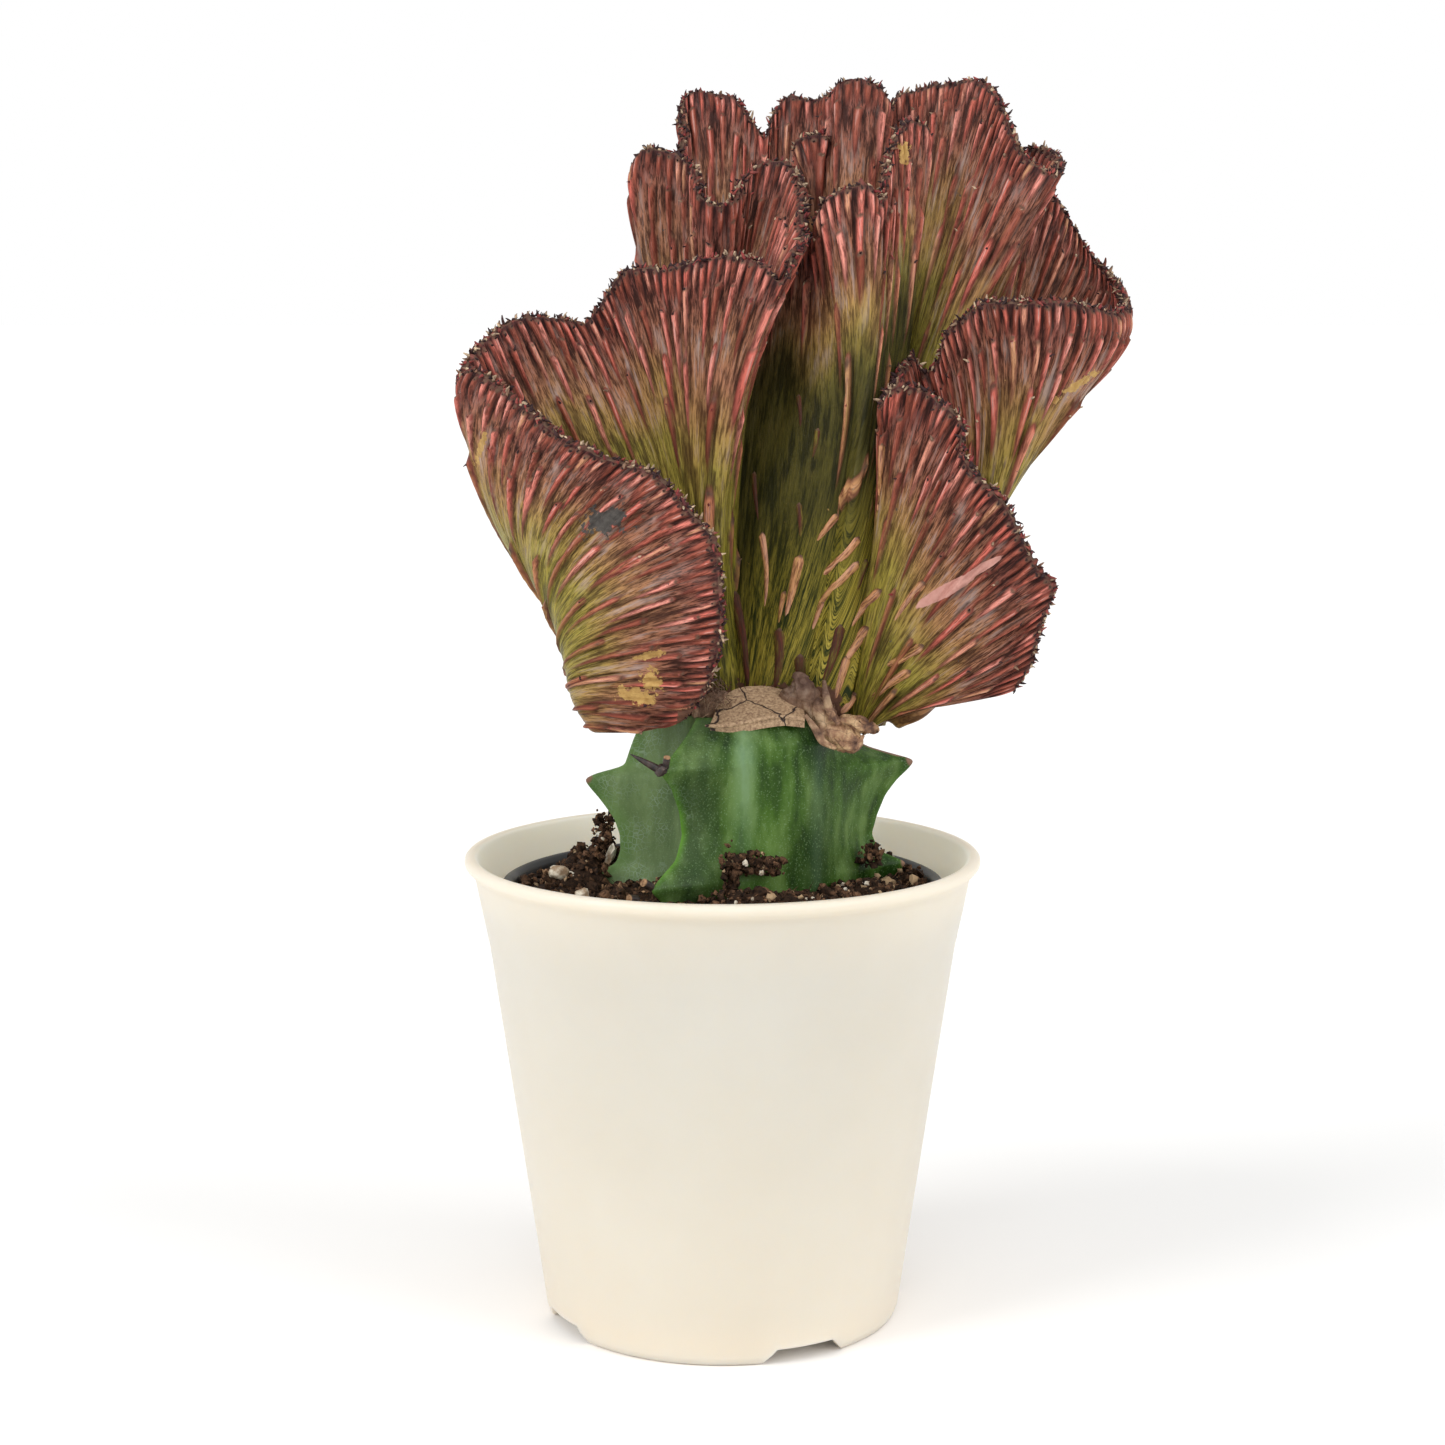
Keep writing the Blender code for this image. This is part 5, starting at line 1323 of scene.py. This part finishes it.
# Loose heaps: middle, half sizes and number of crumbs, less those that would lie in the stem or the pot
HEAPS = [
    ((-30.0, 2.5, 125.0), (2.4, 2.4, 3.8), 90), ((-30.0, 2.0, 119.5), (3.4, 3.4, 4.0), 170),
    ((-32.0, 0.5, 114.5), (5.0, 4.5, 4.0), 260), ((-39.0, -3.0, 111.8), (6.0, 6.5, 2.4), 260),
    ((1.8, -29.0, 118.0), (2.0, 2.6, 6.0), 170), ((4.6, -28.5, 121.6), (2.6, 2.2, 2.4), 80),
    ((10.0, -28.0, 121.2), (4.6, 2.2, 2.3), 130), ((6.0, -34.0, 112.4), (9.0, 5.0, 3.0), 380),
    ((19.0, -34.0, 111.6), (9.0, 5.0, 2.6), 320), ((29.0, -27.0, 111.4), (5.0, 5.0, 2.2), 130),
    ((37.3, -7.0, 119.6), (2.5, 2.5, 2.5), 90), ((49.0, -2.0, 112.0), (3.0, 7.0, 2.5), 120),
    ((-16.0, -33.0, 110.6), (4.0, 5.0, 2.0), 110),
]


def soil_height(x, y):
    """Height of the ground: a mound round the stem, clumps, chance lumps and a low margin."""
    height = GROUND + MOUND * math.exp(-((x - STEM_X) ** 2 + y ** 2) / 34.0 ** 2)
    for cx, cy, tall, spread in CLUMPS:
        height += 0.92 * tall * math.exp(-(((x - cx) ** 2 + (y - cy) ** 2) / spread ** 2) ** 1.4)
    height += 1.3 * lumpy((x / 6, y / 6, 3.0)) + 0.8 * lumpy((x / 2, y / 2, 8.0))
    edge = max(0.0, (math.hypot(x, y) - MARGIN_RADIUS) / (SOIL_RADIUS - MARGIN_RADIUS))
    return height + (MARGIN - height) * min(edge, 1.0) ** 1.5


# Radius and height of each ring: the soil's underside, its side along the grow pot, the open ground
rings = [(20.0, 9.1), (37.2, 9.1), (38.3, 12.0), (45.5, 61.0), (SOIL_RADIUS, 108.0)]
rings += [(radius, 109.0) for radius in np.linspace(SOIL_RADIUS - 0.2, 1.0, 78)]
ground = round_piece("peat_ground", rings, 180)
lifted = [corner for corner in ground.data.vertices if corner.co.z > 108.5 * MM]
for corner in lifted:
    corner.co.z = soil_height(corner.co.x / MM - POT_SHIFT, corner.co.y / MM) * MM
print("soil from", round(min(corner.co.z for corner in lifted) / MM, 1), "to",
      round(max(corner.co.z for corner in lifted) / MM, 1), "mm")

# %% Crumbs and rootlets
CRUMBS, CLODS, ROOTLETS = 2600, 260, 150
crumb_shapes = [shaken_ball(1, 0.45, seed) for seed in range(5)]
clod_shapes = [shaken_ball(2, 0.30, seed) for seed in range(4)]


def crumb(x, y, z, size, least):
    """A crumb turned by chance, each half size between the least share of the size and 1.15 of it."""
    sizes = [size * chance.uniform(least, 1.15) for _ in range(3)]
    return (x, y, z), any_turn(), sizes, chance.random()


def crumb_spots(count, low, high):
    """Places for crumbs strewn over the whole ground, most of them near the low size."""
    spots = []
    while len(spots) < count:
        away, turn = 51.0 * math.sqrt(chance.random()), chance.uniform(0, 6.283)
        x, y = away * math.cos(turn), away * math.sin(turn)
        size = low + (high - low) * chance.random() ** 2.2
        if math.hypot(x, y) > SOIL_RADIUS - 0.5 - size:
            continue
        z = soil_height(x, y) + size * chance.uniform(-0.2, 0.7)
        if not in_stem(x, y, z, 0.25 * size):
            spots.append(crumb(x, y, z, size, 0.65))
    return spots


def heap_spots():
    """Places for the crumbs of the loose heaps."""
    spots = []
    for middle, half, count in HEAPS:
        for _ in range(count):
            spread = [chance.gauss(0, 0.5) for _ in range(3)]
            x, y, z = (c + h * s for c, h, s in zip(middle, half, spread))
            size = 0.3 + 1.1 * chance.random() ** 2.0
            if math.hypot(x, y) <= SOIL_RADIUS - 0.5 - size and not in_stem(x, y, z, 0.15 * size):
                spots.append(crumb(x, y, z, size, 0.6))
    return spots


def free_place(rise, margin, reach, wide=50, front=-50, back=50):
    """A chance place above the ground, at least the margin away from the stem."""
    while True:
        x, y = chance.uniform(-wide, wide), chance.uniform(front, back)
        z = soil_height(x, y) + rise
        if math.hypot(x, y) < reach and not in_stem(x, y, z, margin):
            return x, y, z


crumbs = scattered("peat_crumbs", crumb_shapes, crumb_spots(CRUMBS, 0.35, 1.1) + heap_spots())
clods = scattered("peat_clods", clod_shapes, crumb_spots(CLODS, 0.9, 2.0))
spots = []
for _ in range(ROOTLETS):
    x, y, z = free_place(1, 0.5, 49)
    lean = (chance.gauss(0, 1), chance.gauss(0, 1), abs(chance.gauss(0.35, 0.3)))
    spots.append(((x, y, z - 1.2), aimed(lean, chance.random() * 6),
                  (0.16, 0.16, chance.uniform(2.0, 5.0)), chance.random()))
rootlets = scattered("rootlets", [bent_cone(5, 6.0, 0.3), bent_cone(5, -9.0, 0.3)], spots)

# %% [markdown]
# ## Peat
# Wet peat is nearly black brown, and dry crumbs are a warmer brown. The tone stored on each crumb
# picks its place between the two, and coarse noise breaks up its surface.

# %% Peat finish
peat, tree, place = new_finish("peat")
tone = stored(tree, "tone")
flecks = noise(tree, place, 900.0, 5.0, 0.65)
dark_brown = ramp(tree, flecks, [(0.35, (0.004, 0.002, 0.0012)), (0.65, (0.050, 0.024, 0.012))])
warm_brown = ramp(tree, flecks, [(0.38, (0.016, 0.008, 0.004)), (0.62, (0.24, 0.125, 0.068))])
colour = layered(tree, dark_brown, (ramp(tree, tone, [(0.25, 0.0), (0.9, 1.0)]), warm_brown),
                 (ramp(tree, tone, [(0.945, 0.0), (0.955, 1.0)]), (0.42, 0.29, 0.17)))
shaded(tree, Base_Color=colour, Roughness=0.85, Specular_IOR_Level=0.2)
bumped(tree, flecks, 0.0004, 0.9)
finish_piece(ground, peat, ["soil"])
for piece in (crumbs, clods, rootlets):
    finish_piece(piece, peat, (), 60)

# %% [markdown]
# ## Perlite and bark
# White grains of perlite and a chip of bark lie on the peat. Each of the solid grains is replaced by a
# finer one of the same size: a ball is subdivided, flattened and pitted by noise. Smaller grains are
# strewn as copies.

# %% Grains and chips
white, tree, place = new_finish("perlite_white")
pits = noise(tree, place, 1300.0, 4.0, 0.6)
stain = noise(tree, place, 330.0, 3.0)
colour = ramp(tree, stain, [
    (0.38, (0.30, 0.20, 0.12)), (0.52, (0.66, 0.59, 0.47)), (0.75, (0.80, 0.76, 0.68))])
colour = mixed(tree, ramp(tree, pits, [(0.3, 0.45), (0.5, 0.0)]), colour, (0.20, 0.14, 0.09))
shaded(tree, Base_Color=colour, Roughness=0.85)
bumped(tree, pits, 0.0003, 0.9)

tan, tree, place = new_finish("bark_tan")
strands = noise(tree, stretched(tree, place, (1.0, 0.2, 1.0)), 1500.0, 5.0)
shaded(tree, Base_Color=ramp(tree, strands, [(0.3, (0.10, 0.045, 0.02)), (0.7, (0.46, 0.27, 0.14))]),
       Roughness=0.85)
bumped(tree, strands, 0.0003, 0.8)

for name in ("perlite_left", "perlite_low_left", "perlite_front", "perlite_right", "bark_chip"):
    low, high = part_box(name)
    middle, half = (low + high) / 2, (high - low) / 2
    clear_selection()
    bpy.ops.mesh.primitive_ico_sphere_add(subdivisions=4, radius=1, location=(0, 0, 0))
    grain = bpy.context.object
    grain.name = name + "_grain"
    for corner in grain.data.vertices:
        at = corner.co.copy()
        dent = 0.30 * lumpy(tuple(at * 1.3 + middle * 3000)) + 0.10 * lumpy(tuple(at * 5.0))
        at = at * (0.95 + dent)
        corner.co = middle + Vector((at.x * half.x, at.y * half.y, at.z * half.z))
    finish, slot = (tan, "bark_tan") if name == "bark_chip" else (white, "perlite_white")
    finish_piece(grain, finish, [name])

GRAINS, FLAKES = 75, 46
# Grains that the photo shows: x, y, z and half size
SEEN_GRAINS = [
    (-31.5, -1.5, 115.5, 0.9), (-30.2, -1.2, 122.5, 0.5), (-38.5, -7, 113.6, 1.8), (-34, -4, 113.0, 0.7),
    (7.0, -35.0, 114.2, 1.1), (1.5, -33.5, 113.5, 0.7), (12, -36, 113.4, 0.8), (20, -37, 113.2, 0.9),
    (24, -35, 113.0, 1.1), (-3, -39, 112.0, 0.8), (5.5, -31, 122.2, 0.8), (9.5, -30.6, 119.8, 0.7),
    (36.8, -9.6, 120.0, 0.5), (30, -33, 112.6, 0.8), (-13, -38, 111.8, 0.7),
]
spots = [((-28.4, -1.8, 118.4), Euler((0.1, 0.25, 0.3)).to_matrix(), (1.3, 1.2, 2.7), 0.5)]
for *grain_place, size in SEEN_GRAINS:
    spots.append((grain_place, any_turn(), (size, 0.8 * size, 0.7 * size), 0.5))
while len(spots) < GRAINS:
    grain_place, size = free_place(0.3, 0.6, 49.5), 0.4 + 0.9 * chance.random() ** 3
    spots.append((grain_place, any_turn(), (size, 0.8 * size, 0.7 * size), 0.5))
finish_piece(scattered("small_perlite", [shaken_ball(2, 0.3, seed) for seed in (7, 8, 9)], spots),
             white, (), 50)
spots = []
for _ in range(FLAKES):
    flake_place, size = free_place(0.5, 0.8, 49, 48, -49, 30), chance.uniform(0.5, 1.3)
    spots.append((flake_place, any_turn(), (1.6 * size, 0.6 * size, 0.35 * size), 0.5))
finish_piece(scattered("bark_flakes", [shaken_ball(1, 0.35, seed) for seed in (3, 4)], spots),
             tan, (), 40)
finish_piece(cuts_tan, tan, (), 40)

# %% [markdown]
# ## Cork and resin at the graft
# Where the crest was joined to the stem, a corky callus has swollen over the cut: a cracked flat plate
# in front with a thin curled lip, a fringe of golden fibres on its left, and a knot of folded ribbons
# and resin on the right that hangs over the stem. Lumps are added as balls, joined by remeshing into
# one skin, and roughened by lifting its points with noise.

# %% Callus
# Middle, half sizes and lean of each ball
CORK_LUMPS = [
    ((15, -2, 153.0), (24, 13, 3.2), 0), ((-1, -13.0, 157.8), (4.6, 3.4, 4.0), 0),
    ((-4.5, -15.0, 156.6), (3.2, 2.8, 2.8), 0), ((21.0, -15.6, 160.0), (3.2, 2.4, 7.6), -24),
    ((24.6, -17.6, 156.6), (3.4, 2.6, 4.6), -30), ((17.5, -14.5, 159.6), (3.4, 2.4, 4.0), -20),
    ((28.0, -19.0, 151.9), (5.6, 3.2, 3.4), 8), ((30.6, -19.8, 150.2), (3.8, 3.2, 2.9), 0),
    ((35.4, -18.0, 153.4), (3.0, 2.4, 1.6), 18), ((32.5, -17.2, 154.4), (4.0, 2.6, 2.0), 14),
    ((15, 11, 154.0), (13, 5, 5), 0),
]
# Grain of the skin that joins the balls, in millimetres
WELD = 0.42
# Half width of the cracks between the cork's folds, in the noise's own measure
CRACK = 0.22
balls = []
for centre, half, lean in CORK_LUMPS:
    clear_selection()
    bpy.ops.mesh.primitive_ico_sphere_add(
        subdivisions=4, radius=1, location=metres(centre).tolist(), scale=[value * MM for value in half],
        rotation=(0, math.radians(lean), 0))
    balls.append(bpy.context.object)
pick(balls[0])
for ball in balls[1:]:
    ball.select_set(True)
bpy.ops.object.join()
callus = bpy.context.object
callus.name = "cork_callus"
bpy.ops.object.transform_apply(location=True, rotation=True, scale=True)
welded = callus.modifiers.new("weld", "REMESH")
welded.mode = "VOXEL"
welded.voxel_size = WELD * MM
bpy.ops.object.modifier_apply(modifier=welded.name)
for corner in callus.data.vertices:
    at = np.array(corner.co) / MM
    folds = abs(lumpy((at[0] / 2.6, at[1] / 2.6, at[2] / 5.0)))
    lift = 0.55 * lumpy(at / 3.0) - 0.9 * max(0.0, CRACK - folds) / CRACK + 0.25 * lumpy(at / 0.9)
    corner.co += corner.normal * (lift * 0.75 * MM)
print("callus box in mm:", [round(value * 1000, 1) for value in callus.dimensions])

# %% [markdown]
# ## Lip, fibres and folded ribbons
# The thin parts are strips: a flat ring of points is pushed along a path in the table. The plate's
# curled lip and the folded ribbons of the knot are such strips. The plate is the old cut face of the
# stem: a slab between the lip and the crest, cracked as it dried. The fibres are fine bent cones.

# %% Strips of dry skin
FIBRES = 120
STRIP_SIDES = 10
SLAB_STEPS, SLAB_ROWS = 60, 22


def strip(name, path, widths, thick, wave, seed):
    """A closed strip along a path; widths are given at its points, the wave is how much it curls."""
    path = np.array(path, float)
    params = run_along(path)
    where = np.linspace(0, params[-1], max(12, int(params[-1] / 0.4)))
    middle = through(path, params, where)
    wide = np.interp(where, params, widths)
    ahead = unit(np.gradient(middle, axis=0))
    out = unit(np.cross(ahead, (0.05, 1.0, 0.25)))
    face = unit(np.cross(out, ahead))
    points = []
    for k in range(len(where)):
        for m in range(STRIP_SIDES):
            angle = 2 * math.pi * m / STRIP_SIDES
            across = wide[k] * math.cos(angle)
            curl = wave * (across / max(wide.max(), 0.1)) ** 2 + 0.25 * lumpy((where[k] / 1.6, across, seed))
            points.append(middle[k] + across * out[k] + (thick * math.sin(angle) + curl) * face[k])
    made = mesh_piece(name, points, tube_faces(len(where), STRIP_SIDES))
    bpy.ops.object.mode_set(mode="EDIT")
    leave_edit()
    return made


def slab(name, near_edge, far_edge, thick):
    """A closed slab between two edges, each a list of points."""
    share = np.linspace(0, 1, SLAB_STEPS)
    near, far = (through(np.array(edge, float), np.linspace(0, 1, len(edge)), share)
                 for edge in (near_edge, far_edge))
    points, faces = [], []
    for level in (0, 1):
        for k in range(SLAB_STEPS):
            for m in range(SLAB_ROWS):
                at = near[k] + (far[k] - near[k]) * m / (SLAB_ROWS - 1)
                if not level:
                    at = at + (0, -0.2, 0.16 * lumpy(at / 2.2) + 0.05 * lumpy(at / 0.5))
                points.append(at - (0, 0, level * thick))
    size = SLAB_STEPS * SLAB_ROWS
    for a in range(size - SLAB_ROWS):
        if a % SLAB_ROWS < SLAB_ROWS - 1:
            b = a + SLAB_ROWS
            faces += [(a, b, b + 1, a + 1), (a + size, a + 1 + size, b + 1 + size, b + size)]
    net = np.arange(size).reshape(SLAB_STEPS, SLAB_ROWS)
    rim = np.concatenate([net[:, 0], net[-1, 1:], net[-2::-1, -1], net[0, -2:0:-1]]).tolist()
    for a, b in zip(rim, rim[1:] + rim[:1]):
        faces.append((b, a, a + size, b + size))
    return mesh_piece(name, points, faces)


strips = [
    slab("cut_plate",
         [(-3, -22.6, 155.0), (3.5, -23.4, 155.3), (10, -22.8, 156.3), (15, -22.0, 156.8),
          (20, -20.4, 156.1)],
         [(0, -14, 160.5), (4, -12.5, 162.4), (10, -11.5, 162.8), (15.5, -12, 161.6), (20, -14, 158.6)], 2.4),
    strip("plate_lip",
          [(-4.2, -23.7, 154.7), (-1, -24.3, 154.6), (3.5, -24.0, 155.0), (8, -23.4, 155.9),
           (13, -22.8, 156.6), (17, -21.6, 156.2), (20, -20.6, 155.6)],
          [0.35, 0.6, 0.65, 0.6, 0.65, 0.6, 0.4], 0.3, 0.35, 1.0),
    strip("fold_high",
          [(24.8, -18.0, 165.0), (25.2, -19.2, 161.8), (26.2, -20.6, 158.2), (28.2, -21.6, 154.6)],
          [0.4, 0.9, 1.0, 0.5], 0.5, -0.5, 3.0),
    strip("fold_right",
          [(28.0, -21.2, 155.6), (31, -21.4, 155.8), (34.2, -20.4, 153.8), (37.2, -18.8, 153.8)],
          [0.5, 0.9, 0.9, 0.4], 0.5, -0.5, 4.0),
    strip("fold_low",
          [(20.2, -20.2, 156.8), (22.6, -21.4, 153.6), (24.4, -22.2, 150.8), (27.6, -22.7, 149.0)],
          [0.5, 0.9, 1.0, 0.5], 0.5, -0.5, 5.0),
    strip("drip_fold",
          [(27.4, -22.4, 151.6), (30.0, -23.0, 149.6), (32.4, -22.6, 149.4), (34.2, -21.0, 151.8)],
          [0.4, 0.8, 0.8, 0.4], 0.45, -0.4, 6.0),
]
fibre_spots = []
for _ in range(FIBRES):
    start = np.array([chance.gauss(-1.0, 2.6), -17.5 + chance.gauss(0, 0.7), chance.gauss(160.4, 1.9)])
    aim = (chance.gauss(0, 0.7), -0.6 + chance.gauss(0, 0.4), chance.gauss(0.3, 0.7))
    fibre_spots.append((start, aimed(aim, chance.uniform(0, 6.28)),
                        (0.13, 0.13, chance.uniform(1.4, 3.0)), chance.random()))
fibres = scattered("graft_fibres", [bent_cone(5, 2.0, 0.3), bent_cone(5, -4.0, 0.3)], fibre_spots)

# %% [markdown]
# ## Cork
# Dry cork is a warm grey brown with darker cracks, and the resin on the right has an orange gloss. The
# tone is picked by height and side on the piece's own coordinates.

# %% Cork finish
cork_finish, tree, place = new_finish("cork")
coarse = noise(tree, place, 260.0, 5.0, 0.6)
cracks = crack_lines(tree, place, 330.0)
dusty = ramp(tree, coarse, [
    (0.30, (0.10, 0.050, 0.028)), (0.5, (0.29, 0.17, 0.10)), (0.72, (0.50, 0.36, 0.24))])
resin = ramp(tree, coarse, [
    (0.36, (0.070, 0.028, 0.022)), (0.50, (0.30, 0.150, 0.075)), (0.62, (0.66, 0.43, 0.22))])
sides = node(tree, "SeparateXYZ", {"Vector": place}).outputs
colour = layered(
    tree, dusty, (times(tree, between(tree, sides["X"], 0.001, 0.009), 0.75), resin),
    (ramp(tree, cracks, [(0.0, 0.45), (0.05, 0.0)]), (0.045, 0.022, 0.014)),
    (times(tree, between(tree, sides["Z"], 0.157, 0.163), 0.7), (0.075, 0.034, 0.026)))
shaded(tree, Base_Color=colour, Roughness=ramp(tree, coarse, [(0.4, 0.75), (0.75, 0.42)]))
bumped(tree, plus(tree, noise(tree, place, 900.0, 4.0), times(tree, coarse, 1.2)), 0.0004, 0.9)
finish_piece(callus, cork_finish, ["graft_callus"])
for piece in strips[2:]:
    finish_piece(piece, cork_finish, (), 60)

plate_finish, tree, place = new_finish("dry_plate")
freckles = noise(tree, place, 1500.0, 4.0, 0.6)
colour = ramp(tree, freckles, [
    (0.32, (0.19, 0.108, 0.060)), (0.5, (0.40, 0.260, 0.150)), (0.68, (0.56, 0.39, 0.24))])
wander = mixed(tree, 0.004, place, node(tree, "TexNoise", {"Vector": place, "Scale": 220.0}).outputs["Color"])
crack = ramp(tree, crack_lines(tree, wander, 78.0), [(0.0, 1.0), (0.008, 1.0), (0.020, 0.0)])
shaded(tree, Base_Color=mixed(tree, crack, colour, (0.030, 0.014, 0.010)), Roughness=0.7)
bumped(tree, minus(tree, times(tree, freckles, 0.4), crack), 0.0004, 0.9)
for piece in strips[:2]:
    finish_piece(piece, plate_finish, (), 60)
finish_piece(fibres, cork_finish, (), 60)

# %% [markdown]
# ## Floor, light and camera
# The picture this follows was taken in soft light against white. A plain pale floor runs back to a
# white room. Wide soft suns from both sides give the forms, and weaker ones fill in. The
# camera looks down by about nine degrees, from 70 cm away.

# %% Floor
clear_selection()
bpy.ops.mesh.primitive_plane_add(size=60, location=(0, 0, 0))
floor = bpy.context.object
floor.name = "pale_floor"
pale, tree, place = new_finish("pale_floor")
shaded(tree, Base_Color=(0.97, 0.97, 0.965, 1), Roughness=0.95, Specular_IOR_Level=0.0)
floor.data.materials.append(pale)

world = bpy.data.worlds.new("soft_room")
bpy.context.scene.world = world
world.use_nodes = True
room = world.node_tree
# The room lights the plant less than the camera sees it
seen = node(room, "LightPath").outputs["Is Camera Ray"]
strength = node(room, "MapRange", {"Value": seen, "To Min": 0.60, "To Max": 1.0}).outputs["Result"]
fill(room, room.nodes["Background"], {"Color": (1.0, 1.0, 1.0, 1), "Strength": strength})
bpy.context.scene.view_settings.view_transform = "Standard"


# %% Lamps and camera
def soft_sun(name, towards, width, power):
    """A sun as wide as a large soft window; it shines in the given direction."""
    lamp = bpy.data.lights.new(name, "SUN")
    lamp.angle = math.radians(width)
    lamp.energy = power
    made = bpy.data.objects.new(name, lamp)
    made.location = -1.5 * Vector(towards).normalized()
    made.rotation_euler = Vector(towards).to_track_quat("-Z", "Y").to_euler()
    bpy.context.scene.collection.objects.link(made)


soft_sun("window_left", (0.85, 0.50, -0.60), 28, 1.30)
soft_sun("window_right", (-0.90, 0.45, -0.50), 38, 1.00)
soft_sun("window_front", (0.10, 0.95, -0.35), 40, 0.40)
soft_sun("skylight", (-0.1, 0.3, -1.0), 50, 0.55)

# The eye as fitted to the ellipses of the pot's rim and foot, with its tilt in degrees
EYE, EYE_TILT, EYE_LENS = (-0.019, -0.6937, 0.2563), 8.557, 69.6
lens = bpy.data.cameras.new("camera")
lens.sensor_width = 36.0
lens.lens = EYE_LENS
camera = bpy.data.objects.new("camera", lens)
camera.location = EYE
camera.rotation_euler = (math.radians(90 - EYE_TILT), 0, 0)
bpy.context.scene.collection.objects.link(camera)
bpy.context.scene.camera = camera
